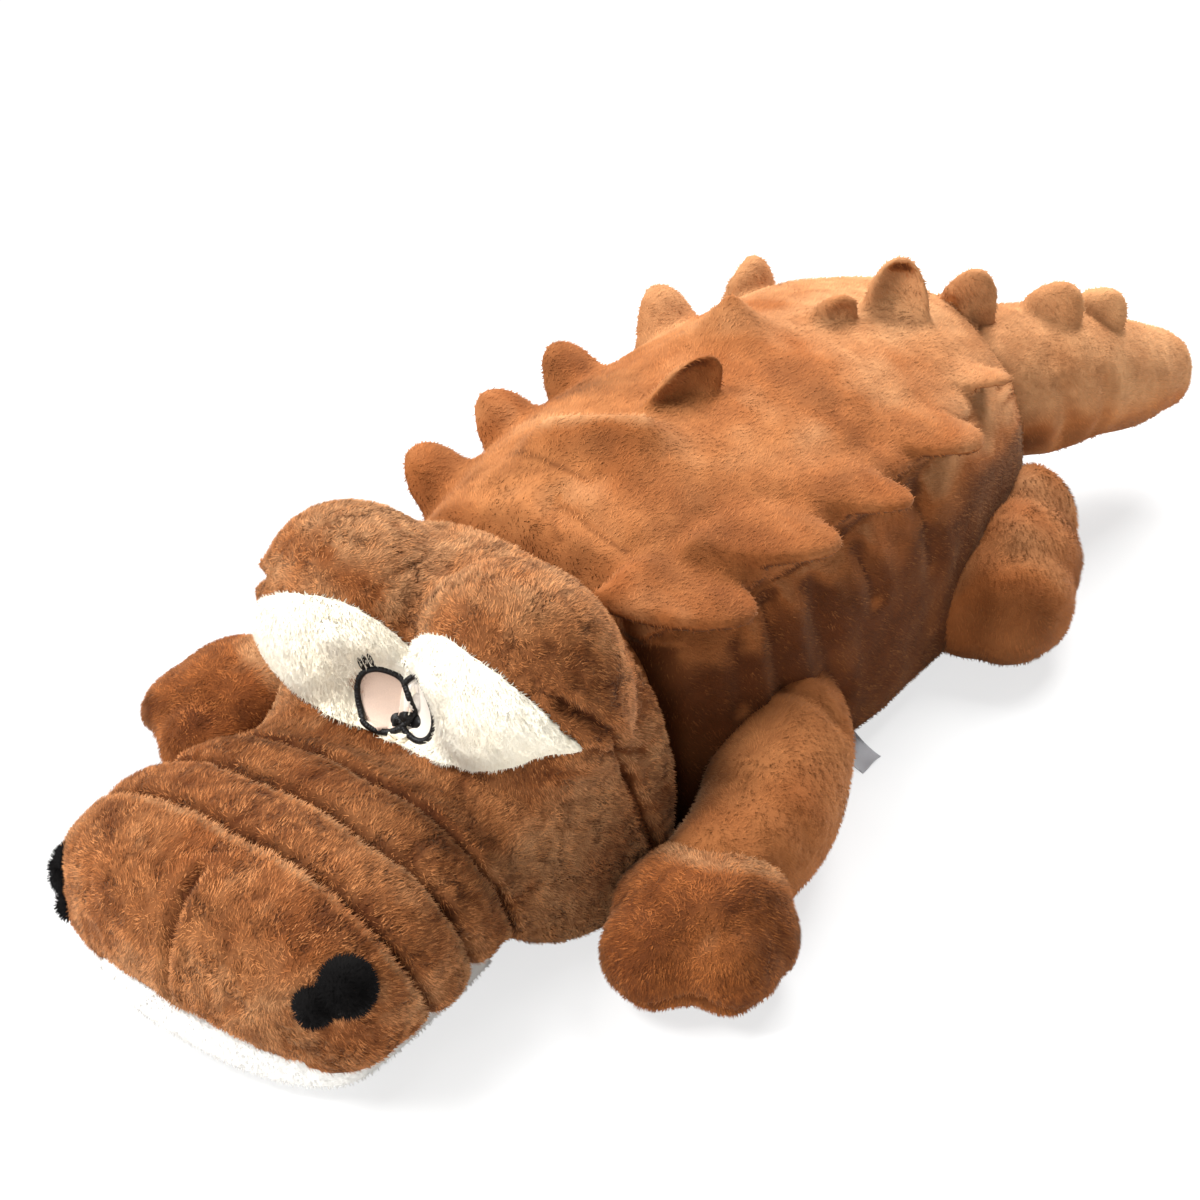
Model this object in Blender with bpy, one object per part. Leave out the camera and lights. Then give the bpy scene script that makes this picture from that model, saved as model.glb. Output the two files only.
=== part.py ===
# Stuffed plush crocodile lying on its belly: body, neck, head, four limbs, tail, back scutes and label.
# The animal faces -Y, its left side is +X, and the floor is at z = 0. All lengths are in metres.
import math

import bmesh
import bpy
from mathutils import Matrix, Vector

# Gaps and cloth
GAP = 0.0003
CLEARANCE = 0.0004
LIMB_CLEARANCE = 0.0007
SWING_CLEARANCE = 0.0015
SKIN = 0.006
FLAT_CUT = 0.0005
OVERRUN = 0.05

# Body: the front end lies this far ahead of the origin
TORSO_FRONT = -0.151
TORSO_LENGTH = 0.486
TORSO_HALF_WIDTH = 0.155
TORSO_HEIGHT = 0.249
TORSO_BELT = 0.100
# The stuffed belly is pressed this flat by the toy's own weight
BELLY_FLAT_CUT = 0.002
BELLY_SEAM = 0.020
FLANK_SEAM_SHARE = 0.775
TORSO_POINTS = 22
TORSO_CORE_POINTS = 12
UPPER_POWER = 0.85
LOWER_POWER = 0.40
# Place along the body, half width, height, and how far the underside lifts off the floor
TORSO_SHARES = (
    (0.000, 0.745, 0.850, 0.30),
    (0.023, 0.845, 0.888, 0.10),
    (0.074, 0.915, 0.928, 0.00),
    (0.187, 0.961, 0.968, 0.00),
    (0.311, 0.987, 0.990, 0.00),
    (0.434, 1.000, 1.000, 0.00),
    (0.578, 0.993, 1.000, 0.00),
    (0.722, 0.954, 0.992, 0.00),
    (0.825, 0.901, 0.976, 0.00),
    (0.907, 0.816, 0.944, 0.06),
    (0.959, 0.724, 0.904, 0.20),
    (1.000, 0.590, 0.845, 0.42),
)
TORSO_CORE_STATIONS = (0, 2, 5, 8, 10, 11)

# Neck: one stuffed ball that the head and the body close round
NECK_RADIUS = 0.095
NECK_Y = -0.166
NECK_Z = 0.108
NECK_SEGMENTS = 18

# Head
HEAD_BACK = -0.181
HEAD_LENGTH = 0.343
HEAD_HALF_WIDTH = 0.151
HEAD_HEIGHT = 0.228
HEAD_BELT = 0.058
HEAD_POINTS = 20
HEAD_CORE_POINTS = 12
HEAD_LOWER_POWER = 0.45
# Place along the head from the back, half width, height and lift; the narrow rows are the sewn creases
HEAD_SHARES = (
    (0.000, 0.900, 0.940, 0.10),
    (0.026, 0.974, 0.982, 0.00),
    (0.085, 1.000, 1.000, 0.00),
    (0.157, 0.967, 0.978, 0.00),
    (0.230, 0.907, 0.890, 0.00),
    (0.303, 0.834, 0.730, 0.00),
    (0.362, 0.768, 0.592, 0.00),
    (0.411, 0.728, 0.552, 0.00),
    (0.455, 0.695, 0.535, 0.00),
    (0.484, 0.750, 0.582, 0.00),
    (0.522, 0.775, 0.588, 0.00),
    (0.560, 0.738, 0.531, 0.00),
    (0.595, 0.800, 0.582, 0.00),
    (0.650, 0.828, 0.585, 0.00),
    (0.700, 0.800, 0.526, 0.00),
    (0.735, 0.842, 0.575, 0.00),
    (0.800, 0.858, 0.580, 0.00),
    (0.875, 0.800, 0.560, 0.04),
    (0.930, 0.675, 0.505, 0.12),
    (0.970, 0.480, 0.415, 0.26),
    (1.000, 0.200, 0.280, 0.52),
)
HEAD_CORE_STATIONS = (0, 2, 4, 6, 8, 11, 14, 17, 19)
JAW_SEAM = 0.036
CHEEK_SEAM = 0.010
JAW_SEAM_END_SHARE = 0.43
CHEEK_SEAM_START_SHARE = 0.33
HEAD_NOD_ANGLE = 8.0
HEAD_TURN_ANGLE = 10.0

# Brows and eyes, set on the head: places are shares of its half width, length and height
BROW_RADII = (0.075, 0.062, 0.089)
BROW_PLACE_SHARES = (0.397, 0.233, 0.732)
BROW_SEGMENTS = 18
BROW_RINGS = 12
PATCH_THICKNESS = 0.004
# Outline of an eye patch seen from the front, as shares of the brow's radii from its middle
PATCH_SHARES = (
    (-0.76, -0.54),
    (-0.76, 0.25),
    (-0.42, 0.50),
    (0.05, 0.53),
    (0.52, 0.34),
    (0.96, 0.00),
    (0.88, -0.20),
    (0.44, -0.42),
    (-0.10, -0.55),
)
PATCH_DEPTH_SHARE = 0.10
IRIS_HALF_WIDTH = 0.0185
IRIS_HALF_HEIGHT = 0.0275
IRIS_RISE_SHARE = -0.20
IRIS_POINTS = 12
OUTLINE_WIDTH = 0.0035
THREAD = 0.001
PUPIL_RADIUS = 0.0070
PUPIL_IN_SHARE = -0.42
PUPIL_RISE_SHARE = -0.42
PUPIL_POINTS = 8
NOSTRIL_RADII = (0.026, 0.030, 0.026)
NOSTRIL_PLACE_SHARES = (0.640, 0.856, 0.362)
NOSTRIL_SEGMENTS = 14

# Arms and front paws: a root is given in shares of the body's half width, length and height
# The right arm lies a little closer to the head than the left one
SHOULDER_PLACE_SHARES = (0.850, 0.200, 0.217)
SHOULDER_RADIUS = 0.0445
ARM_SWING_ANGLE = 25.0
ARM_REST_ANGLES = {"left": 0.0, "right": 5.0}
ARM_LENGTH = 0.172
ARM_RADIUS = 0.0430
ARM_LINE_SHARES = (
    (0.000, 0.000, 0.000),
    (0.235, -0.350, -0.025),
    (0.350, -0.650, -0.035),
    (0.385, -0.930, -0.040),
)
ARM_RADIUS_SHARES = (1.00, 0.99, 0.97, 0.95)
LIMB_POINTS = 12
BALL_SEGMENTS = 14
PAW_SEGMENTS = 12
PAW_ANGLE = 28.0
# Palm and two toes of a front paw: places along the arm's length from its root, and their radii
PAW_LOBE_SHARES = ((0.445, -1.085), (0.405, -1.365), (0.655, -1.170))
PAW_LOBE_RADII = (
    (0.0540, 0.060, 0.0420),
    (0.0345, 0.042, 0.0310),
    (0.0365, 0.040, 0.0325),
)
PAW_LOBES = tuple(zip(PAW_LOBE_SHARES, PAW_LOBE_RADII))

# Hind feet, each a mitten that comes straight out of the body
HIP_PLACE_SHARES = (0.700, 0.767, 0.241)
HIP_RADIUS = 0.047
LEG_SWING_ANGLE = 10.0
LEG_LENGTH = 0.053
FOOT_ANGLE = -8.0
FOOT_LOBE_SHARES = ((1.06, 0.34), (1.60, -0.50), (0.74, 1.30))
FOOT_LOBE_RADII = (
    (0.046, 0.060, 0.051),
    (0.040, 0.048, 0.045),
    (0.038, 0.046, 0.060),
)
FOOT_LOBES = tuple(zip(FOOT_LOBE_SHARES, FOOT_LOBE_RADII))

# Tail
TAIL_PLACE_SHARES = (0.342, 0.990, 0.586)
TAIL_BALL_RADIUS = 0.066
TAIL_SWING_ANGLE = 12.0
TAIL_LENGTH = 0.215
TAIL_RADIUS = 0.064
TAIL_LINE_SHARES = (
    (0.000, 0.000, 0.000),
    (0.084, 0.140, -0.014),
    (0.167, 0.288, -0.037),
    (0.256, 0.512, -0.088),
    (0.321, 0.721, -0.144),
    (0.367, 0.921, -0.191),
)
TAIL_RADIUS_SHARES = (1.00, 0.98, 0.95, 0.84, 0.70, 0.56)
TAIL_POINTS = 14
TAIL_CORE_POINTS = 10
TAIL_SEAM_SHARE = 0.80

# Back scutes: ears of cloth, domed above, nearly flat below, and round at the tip
SCUTE_POINTS = 8
SCUTE_STEPS = 4
SCUTE_TIP_ANGLE = 80.0
SCUTE_POWER = 1.5
SCUTE_UNDER_SHARE = 0.45
SCUTE_ROOT = 0.012
# Side row, in the seam between back and flank: place along the body, length and height
SIDE_SCUTE_SHARES = (
    (0.085, 0.95, 0.95),
    (0.255, 1.00, 1.00),
    (0.440, 0.95, 1.00),
    (0.650, 0.95, 0.95),
    (0.850, 0.65, 0.70),
)
SIDE_SCUTE_REACH = 0.043
SIDE_SCUTE_RISE_SHARE = 0.32
SIDE_SCUTE_LEAN_SHARE = 0.25
SIDE_SCUTE_HALF_LENGTH = 0.039
SIDE_SCUTE_HALF_THICKNESS = 0.019
# Middle row: place across and along the body, length and height; then the turns from +X in degrees
MID_SCUTE_SHARES = (
    (-0.15, 0.150, 1.45, 0.75),
    (0.00, 0.290, 1.00, 1.00),
    (-0.22, 0.586, 1.05, 0.90),
    (0.06, 0.716, 0.70, 0.60),
    (0.09, 0.848, 0.68, 1.10),
)
MID_SCUTE_ANGLES = (-17.0, 38.0, 42.0, 43.0, 60.0)
MID_SCUTE_REACH = 0.035
MID_SCUTE_LEAN_SHARE = 0.35
MID_SCUTE_HALF_LENGTH = 0.036
MID_SCUTE_HALF_THICKNESS = 0.016
# The last one stands over the root of the tail
RUMP_SCUTE_SHARES = (0.37, 0.930, 0.95, 1.25)
TAIL_SCUTE_SHARES = (1.00, 1.00)
TAIL_SCUTE_STATIONS = (2, 3)
TAIL_SCUTE_REACH = 0.027
TAIL_SCUTE_HALF_LENGTH = 0.024
TAIL_SCUTE_HALF_THICKNESS = 0.014

# Care label, a bare strip sewn into the seam under the left flank
LABEL_LENGTH = 0.040
LABEL_WIDTH = 0.024
LABEL_THICKNESS = 0.0008
LABEL_PLACE_SHARE = 0.335
LABEL_STEPS = 5
LABEL_DROP = 0.018
LABEL_SAG = 0.0013

ROUND_END_STEPS = 3
QUARTER_TURN = math.pi / 2.0
HALF_TURN = math.pi
FULL_TURN = 2.0 * math.pi
SIDES = (("left", 1.0), ("right", -1.0))
UP = Vector((0.0, 0.0, 1.0))


def clear_scene():
    for thing in list(bpy.data.objects):
        bpy.data.objects.remove(thing, do_unlink=True)


def make_material(name, colour, roughness):
    material = bpy.data.materials.new(name)
    material.use_nodes = True
    shader = material.node_tree.nodes["Principled BSDF"]
    shader.inputs["Base Color"].default_value = (*colour, 1.0)
    shader.inputs["Roughness"].default_value = roughness
    shader.inputs["Metallic"].default_value = 0.0
    material.diffuse_color = (*colour, 1.0)
    return material


def make_materials():
    return {
        "back": make_material("back_plush", (0.47, 0.22, 0.09), 0.95),
        "flank": make_material("flank_plush", (0.34, 0.14, 0.05), 0.95),
        "head": make_material("head_plush", (0.40, 0.17, 0.065), 0.95),
        "paw": make_material("paw_plush", (0.36, 0.15, 0.055), 0.95),
        "cream": make_material("cream_fleece", (0.86, 0.80, 0.66), 0.95),
        "white": make_material("white_plush", (0.85, 0.83, 0.79), 0.95),
        "black": make_material("black_plush", (0.015, 0.012, 0.012), 0.90),
        "thread": make_material("black_thread", (0.02, 0.016, 0.015), 0.45),
        "iris": make_material("beige_thread", (0.80, 0.68, 0.58), 0.50),
        "filling": make_material("polyester_filling", (0.88, 0.88, 0.86), 1.00),
        "label": make_material("satin_label", (0.80, 0.81, 0.83), 0.35),
    }


def new_object(name, bm, material):
    # Without a material the object is a cutter, which only shapes others
    bmesh.ops.recalc_face_normals(bm, faces=bm.faces)
    mesh = bpy.data.meshes.new(name)
    bm.to_mesh(mesh)
    bm.free()
    mesh.shade_smooth()
    thing = bpy.data.objects.new(name, mesh)
    bpy.context.collection.objects.link(thing)
    if material is None:
        thing.hide_render = True
        thing.display_type = "WIRE"
    else:
        mesh.materials.append(material)
    return thing


def skin_rings(bm, rings):
    # Rings of equal length become a closed form; each end is filled with one flat face.
    # Every form is split along the same diagonals, so that one lies evenly inside another
    rows = [[bm.verts.new(point) for point in ring] for ring in rings]
    count = len(rows[0])
    for near, far in zip(rows, rows[1:]):
        for i in range(count):
            j = (i + 1) % count
            bm.faces.new((near[i], near[j], far[j]))
            bm.faces.new((near[i], far[j], far[i]))
    bm.faces.new(rows[0])
    bm.faces.new(rows[-1][::-1])


def signed_power(value, power):
    return math.copysign(abs(value) ** power, value)


def section(y, half_width, height, lift, inset, belt, flat_cut, lower_power, count):
    # One cross-section: arched above its widest line and squarer, flat on the floor, below it
    points = []
    for i in range(count):
        angle = FULL_TURN * (i + 0.5) / count
        across = math.cos(angle)
        rise = math.sin(angle)
        if rise > 0.0:
            x = (half_width - inset) * signed_power(across, UPPER_POWER)
            z = belt + (height - inset - belt) * rise ** UPPER_POWER
        else:
            x = (half_width - inset) * signed_power(across, lower_power)
            z = belt - (belt - lift + flat_cut - inset) * abs(rise) ** lower_power
        points.append(Vector((x, y, max(z, inset))))
    return points


def body_form(name, shares, stations, start, size, outline, inset, material):
    # Stuffed form along Y from a table of cross-sections; a positive inset shrinks it on every side
    half_width, length, height = size
    belt = outline[0]
    middle = start + length / 2.0
    shrink = 1.0 - 2.0 * inset / abs(length)
    rings = []
    for index in stations:
        along, wide, tall, lift = shares[index]
        y = middle + (start + length * along - middle) * shrink
        rings.append(section(y, half_width * wide, height * tall, belt * lift, inset, *outline))
    bm = bmesh.new()
    skin_rings(bm, rings)
    return new_object(name, bm, material)


def torso_form(name, inset, coarse=False, material=None):
    stations = TORSO_CORE_STATIONS if coarse else range(len(TORSO_SHARES))
    count = TORSO_CORE_POINTS if coarse else TORSO_POINTS
    size = (TORSO_HALF_WIDTH, TORSO_LENGTH, TORSO_HEIGHT)
    outline = (TORSO_BELT, BELLY_FLAT_CUT, LOWER_POWER, count)
    return body_form(name, TORSO_SHARES, stations, TORSO_FRONT, size, outline, inset, material)


def head_form(name, inset, coarse=False, material=None):
    stations = HEAD_CORE_STATIONS if coarse else range(len(HEAD_SHARES))
    count = HEAD_CORE_POINTS if coarse else HEAD_POINTS
    size = (HEAD_HALF_WIDTH, -HEAD_LENGTH, HEAD_HEIGHT)
    outline = (HEAD_BELT, FLAT_CUT, HEAD_LOWER_POWER, count)
    return body_form(name, HEAD_SHARES, stations, HEAD_BACK, size, outline, inset, material)


def torso_size_at(along):
    # Half width and height of the body at a share of its length
    for (a, wide_a, tall_a, _), (b, wide_b, tall_b, _) in zip(TORSO_SHARES, TORSO_SHARES[1:]):
        if a <= along <= b:
            mix = (along - a) / (b - a)
            wide = wide_a + (wide_b - wide_a) * mix
            tall = tall_a + (tall_b - tall_a) * mix
            return TORSO_HALF_WIDTH * wide, TORSO_HEIGHT * tall
    raise ValueError("the place is not on the body")


def torso_top_point(across, along):
    # Point of the back above a place given in shares of the body's half width and length
    half_width, height = torso_size_at(along)
    angle = math.acos(abs(across) ** (1.0 / UPPER_POWER))
    z = TORSO_BELT + (height - TORSO_BELT) * math.sin(angle) ** UPPER_POWER
    return Vector((half_width * across, TORSO_FRONT + TORSO_LENGTH * along, z))


def torso_side_point(height_share, along):
    # Point of the left side at a share of the body's height there
    half_width, height = torso_size_at(along)
    z = height * height_share
    if z > TORSO_BELT:
        angle = math.asin(((z - TORSO_BELT) / (height - TORSO_BELT)) ** (1.0 / UPPER_POWER))
        x = half_width * math.cos(angle) ** UPPER_POWER
    else:
        angle = math.asin(((TORSO_BELT - z) / (TORSO_BELT + BELLY_FLAT_CUT)) ** (1.0 / LOWER_POWER))
        x = half_width * math.cos(angle) ** LOWER_POWER
    return Vector((x, TORSO_FRONT + TORSO_LENGTH * along, z))


def torso_place(shares):
    x, y, z = shares
    return Vector((TORSO_HALF_WIDTH * x, TORSO_FRONT + TORSO_LENGTH * y, TORSO_HEIGHT * z))


def head_place(shares):
    x, y, z = shares
    return Vector((HEAD_HALF_WIDTH * x, HEAD_BACK - HEAD_LENGTH * y, HEAD_HEIGHT * z))


def mirrored(point, side):
    return Vector((point[0] * side, point[1], point[2]))


def neck_centre():
    return Vector((0.0, NECK_Y, NECK_Z))


def ball(name, centre, radii, segments, material=None, turn=0.0, rings=None):
    bm = bmesh.new()
    bmesh.ops.create_uvsphere(bm, u_segments=segments, v_segments=rings or segments // 2, radius=1.0)
    spin = Matrix.Rotation(math.radians(turn), 4, "Z")
    bm.transform(Matrix.Translation(centre) @ spin @ Matrix.Diagonal((*radii, 1.0)))
    return new_object(name, bm, material)


def turning_ball(name, centre, radius, segments, material=None):
    # An even number of rings, so that corners stand round its middle
    return ball(name, centre, (radius,) * 3, segments, material, rings=segments // 2 + 1)


def pocket(name, centre, radius, segments):
    # A hollow with an odd number of rings, turned half a step, so that its flat faces meet the ball's corners
    clear = (radius + CLEARANCE) / math.cos(HALF_TURN / segments) ** 2
    return ball(name, centre, (clear,) * 3, segments, None, math.degrees(HALF_TURN / segments))


def box(name, low, high):
    bm = bmesh.new()
    bmesh.ops.create_cube(bm, size=1.0)
    size = Vector(high) - Vector(low)
    bm.transform(Matrix.Translation((Vector(low) + Vector(high)) / 2.0) @ Matrix.Diagonal((*size, 1.0)))
    return new_object(name, bm, None)


def prism(name, outline, axis, low, high, material=None):
    # A flat outline drawn square to X or Y, given thickness along that axis
    bm = bmesh.new()
    if axis == "X":
        points = [Vector((low, a, b)) for a, b in outline]
        step = Vector((high - low, 0.0, 0.0))
    else:
        points = [Vector((a, low, b)) for a, b in outline]
        step = Vector((0.0, high - low, 0.0))
    skin_rings(bm, (points, [point + step for point in points]))
    return new_object(name, bm, material)


def seam_cutter(name, line, above, top, reach):
    # Everything above or below a sewn seam that runs along Y, drawn from front to back or back to front
    shift = -GAP / 2.0 if above else GAP / 2.0
    far = top + OVERRUN if above else -OVERRUN
    outline = [(y, z + shift) for y, z in line]
    outline += [(line[-1][0], far), (line[0][0], far)]
    return prism(name, outline, "X", -reach - OVERRUN, reach + OVERRUN)


def tube_rings(line, radii, count, start_round):
    # Rings square to a curved middle line, closed by a round end, and by another at its start if asked
    directions = []
    for i in range(len(line)):
        before = line[max(i - 1, 0)]
        after = line[min(i + 1, len(line) - 1)]
        directions.append((after - before).normalized())
    angles = [QUARTER_TURN * (k + 0.5) / ROUND_END_STEPS for k in range(ROUND_END_STEPS)]
    rows = []
    if start_round:
        for angle in angles:
            centre = line[0] - directions[0] * radii[0] * math.cos(angle)
            rows.append((centre, directions[0], radii[0] * math.sin(angle)))
    rows += list(zip(line, directions, radii))
    for angle in reversed(angles):
        centre = line[-1] + directions[-1] * radii[-1] * math.cos(angle)
        rows.append((centre, directions[-1], radii[-1] * math.sin(angle)))
    rings = []
    for centre, direction, radius in rows:
        across = direction.cross(UP).normalized()
        rise = across.cross(direction)
        ring = []
        for i in range(count):
            angle = FULL_TURN * (i + 0.5) / count
            ring.append(centre + (across * math.cos(angle) + rise * math.sin(angle)) * radius)
        rings.append(ring)
    return rings


def tube(name, line, radii, count, start_round, material=None):
    bm = bmesh.new()
    skin_rings(bm, tube_rings(line, radii, count, start_round))
    return new_object(name, bm, material)


def combine(thing, cutter, operation):
    modifier = thing.modifiers.new(operation.lower() + "_" + cutter.name, "BOOLEAN")
    modifier.object = cutter
    modifier.operation = operation
    modifier.solver = "EXACT"


def cut(thing, *cutters):
    for cutter in cutters:
        combine(thing, cutter, "DIFFERENCE")


def keep(thing, *cutters):
    for cutter in cutters:
        combine(thing, cutter, "INTERSECT")


def join(thing, *others):
    for other in others:
        combine(thing, other, "UNION")


def turned_copy(source, name, pivot, turn, tilt=0.0):
    # The same cutter tilted about X and then turned about Z, both through a pivot, in degrees
    copy = bpy.data.objects.new(name, source.data)
    copy.hide_render = True
    copy.display_type = "WIRE"
    bpy.context.collection.objects.link(copy)
    spin = Matrix.Rotation(math.radians(turn), 4, "Z") @ Matrix.Rotation(math.radians(tilt), 4, "X")
    copy.matrix_world = Matrix.Translation(pivot) @ spin @ Matrix.Translation(-pivot)
    return copy


def set_pivot(things, pivot):
    # Puts each piece's origin on its joint, with the shape where it was
    for thing in things:
        thing.data.transform(Matrix.Translation(-pivot))
        thing.location = pivot


def make_pockets():
    # Round hollows for the neck ball and the roots of the limbs and the tail
    pockets = {
        "neck": pocket("neck_pocket", neck_centre(), NECK_RADIUS, NECK_SEGMENTS),
        "tail": pocket("tail_pocket", torso_place(TAIL_PLACE_SHARES), TAIL_BALL_RADIUS, BALL_SEGMENTS),
    }
    roots = (("shoulder", SHOULDER_PLACE_SHARES, SHOULDER_RADIUS), ("hip", HIP_PLACE_SHARES, HIP_RADIUS))
    for name, side in SIDES:
        for root, shares, radius in roots:
            key = root + "_" + name
            centre = mirrored(torso_place(shares), side)
            pockets[key] = pocket(key + "_pocket", centre, radius, BALL_SEGMENTS)
    return pockets


def body_seam_lines():
    # Heights of the seams above and below the flanks, carried past both ends of the body
    flank_line = []
    belly_line = []
    for along, _, tall, lift in TORSO_SHARES:
        y = TORSO_FRONT + TORSO_LENGTH * along
        flank_line.append((y, TORSO_HEIGHT * tall * FLANK_SEAM_SHARE))
        belly_line.append((y, TORSO_BELT * lift + BELLY_SEAM))
    for line in (flank_line, belly_line):
        line.insert(0, (line[0][0] - OVERRUN, line[0][1]))
        line.append((line[-1][0] + OVERRUN, line[-1][1]))
    return flank_line, belly_line


def make_torso(materials, pockets):
    reach = TORSO_HALF_WIDTH
    flank_line, belly_line = body_seam_lines()
    over_flank = seam_cutter("back_cutter", flank_line, True, TORSO_HEIGHT, reach)
    under_flank = seam_cutter("below_back_cutter", flank_line, False, TORSO_HEIGHT, reach)
    over_belly = seam_cutter("above_belly_cutter", belly_line, True, TORSO_HEIGHT, reach)
    under_belly = seam_cutter("belly_cutter", belly_line, False, TORSO_HEIGHT, reach)
    hollow = torso_form("torso_hollow_cutter", SKIN, True)
    back = torso_form("back_panel", 0.0, False, materials["back"])
    cut(back, under_flank, hollow, pockets["neck"], pockets["tail"])
    belly = torso_form("belly_panel", 0.0, False, materials["cream"])
    cut(belly, over_belly, hollow, *pockets.values())
    low = (-GAP / 2.0, flank_line[0][0], -OVERRUN)
    high = (reach + OVERRUN, flank_line[-1][0], TORSO_HEIGHT + OVERRUN)
    for name, side in SIDES:
        near, far = (low, high) if side < 0.0 else ((-high[0], low[1], low[2]), (-low[0], high[1], high[2]))
        other_side = box("other_side_cutter_" + name, near, far)
        flank = torso_form("flank_panel_" + name, 0.0, False, materials["flank"])
        cut(flank, other_side, over_flank, under_belly, hollow, *pockets.values())
    filling = torso_form("torso_filling", SKIN + GAP, True, materials["filling"])
    cut(filling, *pockets.values())


def make_neck(materials):
    neck = turning_ball("neck", neck_centre(), NECK_RADIUS, NECK_SEGMENTS, materials["flank"])
    set_pivot([neck], neck_centre())


def make_head(materials, neck_pocket):
    seam = [
        (HEAD_BACK - HEAD_LENGTH - OVERRUN, JAW_SEAM),
        (HEAD_BACK - HEAD_LENGTH * JAW_SEAM_END_SHARE, JAW_SEAM),
        (HEAD_BACK - HEAD_LENGTH * CHEEK_SEAM_START_SHARE, CHEEK_SEAM),
        (HEAD_BACK + OVERRUN, CHEEK_SEAM),
    ]
    over_jaw = seam_cutter("crown_cutter", seam, True, HEAD_HEIGHT, HEAD_HALF_WIDTH)
    under_jaw = seam_cutter("jaw_cutter", seam, False, HEAD_HEIGHT, HEAD_HALF_WIDTH)
    hollow = head_form("head_hollow_cutter", SKIN, True)
    crown = head_form("head_panel", 0.0, False, materials["head"])
    cut(crown, hollow, under_jaw, neck_pocket)
    jaw = head_form("jaw_panel", 0.0, False, materials["white"])
    cut(jaw, hollow, over_jaw, neck_pocket)
    filling = head_form("head_filling", SKIN + GAP, True, materials["filling"])
    cut(filling, neck_pocket)
    set_pivot([crown, jaw, filling], neck_centre())


def brow_ball(name, side, offset, material=None):
    radii = [radius + offset for radius in BROW_RADII]
    centre = mirrored(head_place(BROW_PLACE_SHARES), side)
    return ball(name, centre, radii, BROW_SEGMENTS, material, rings=BROW_RINGS)


def oval(centre, half_width, half_height, count):
    points = []
    for i in range(count):
        angle = FULL_TURN * i / count
        points.append((centre[0] + half_width * math.cos(angle), centre[1] + half_height * math.sin(angle)))
    return points


def on_brow(name, side, outline, lift, thickness, material, head_cutter, hole=None):
    # A thin sewn or stitched shape that follows the front of a brow
    middle = head_place(BROW_PLACE_SHARES).y
    front = middle - BROW_RADII[1] - OVERRUN
    back = middle - BROW_RADII[1] * PATCH_DEPTH_SHARE
    shape = prism(name, [(x * side, z) for x, z in outline], "Y", front, back, material)
    keep(shape, brow_ball(name + "_outer_cutter", side, lift + thickness))
    cut(shape, brow_ball(name + "_inner_cutter", side, lift), head_cutter)
    if hole:
        points = [(x * side, z) for x, z in hole]
        cut(shape, prism(name + "_hole_cutter", points, "Y", front - OVERRUN, back + OVERRUN))
    return shape


def make_eye(name, side, materials, head_cutter):
    middle = head_place(BROW_PLACE_SHARES)
    outline = []
    for x, z in PATCH_SHARES:
        outline.append((max(middle.x + BROW_RADII[0] * x, GAP / 2.0), middle.z + BROW_RADII[2] * z))
    cream = materials["cream"]
    patch = on_brow("eye_patch_" + name, side, outline, GAP, PATCH_THICKNESS, cream, head_cutter)
    lift = 2.0 * GAP + PATCH_THICKNESS
    centre = (IRIS_HALF_WIDTH + OUTLINE_WIDTH + GAP, middle.z + BROW_RADII[2] * IRIS_RISE_SHARE)
    outer_size = (IRIS_HALF_WIDTH + OUTLINE_WIDTH, IRIS_HALF_HEIGHT + OUTLINE_WIDTH)
    ring_outline = oval(centre, *outer_size, IRIS_POINTS)
    ring_hole = oval(centre, IRIS_HALF_WIDTH, IRIS_HALF_HEIGHT, IRIS_POINTS)
    black = materials["thread"]
    ring = on_brow("eye_outline_" + name, side, ring_outline, lift, THREAD, black, head_cutter, ring_hole)
    iris_outline = oval(centre, IRIS_HALF_WIDTH - GAP, IRIS_HALF_HEIGHT - GAP, IRIS_POINTS)
    pupil_x = centre[0] + IRIS_HALF_WIDTH * PUPIL_IN_SHARE
    pupil_centre = (pupil_x, centre[1] + IRIS_HALF_HEIGHT * PUPIL_RISE_SHARE)
    pupil_hole = oval(pupil_centre, PUPIL_RADIUS + GAP, PUPIL_RADIUS + GAP, PUPIL_POINTS)
    iris = on_brow("iris_" + name, side, iris_outline, lift, THREAD, materials["iris"], head_cutter, pupil_hole)
    pupil_outline = oval(pupil_centre, PUPIL_RADIUS, PUPIL_RADIUS, PUPIL_POINTS)
    pupil = on_brow("pupil_" + name, side, pupil_outline, lift, THREAD, black, head_cutter)
    return [patch, ring, iris, pupil]


def make_face(materials):
    head_cutter = head_form("head_cutter", -GAP)
    front = HEAD_BACK - HEAD_LENGTH
    across = HEAD_HALF_WIDTH + OVERRUN
    top = HEAD_HEIGHT + OVERRUN
    # A brow ends at the middle of the face and level with the back of the head
    nape = box("nape_cutter", (-across, HEAD_BACK, 0.0), (across, HEAD_BACK + HEAD_LENGTH, top))
    for name, side in SIDES:
        low_x, high_x = (-across, GAP / 2.0) if side > 0.0 else (-GAP / 2.0, across)
        other_half = box("other_half_cutter_" + name, (low_x, front, 0.0), (high_x, HEAD_BACK, top))
        brow = brow_ball("brow_" + name, side, 0.0, materials["head"])
        cut(brow, head_cutter, other_half, nape)
        nostril_centre = mirrored(head_place(NOSTRIL_PLACE_SHARES), side)
        black = materials["black"]
        nostril = ball("nostril_" + name, nostril_centre, NOSTRIL_RADII, NOSTRIL_SEGMENTS, black)
        cut(nostril, head_cutter)
        set_pivot([brow, nostril] + make_eye(name, side, materials, head_cutter), neck_centre())


def limb_point(pivot, steps, side, turn):
    # A point given from a limb's root, turned with the limb and mirrored to its side
    return pivot + mirrored(Matrix.Rotation(math.radians(-turn), 3, "Z") @ steps, side)


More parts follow.
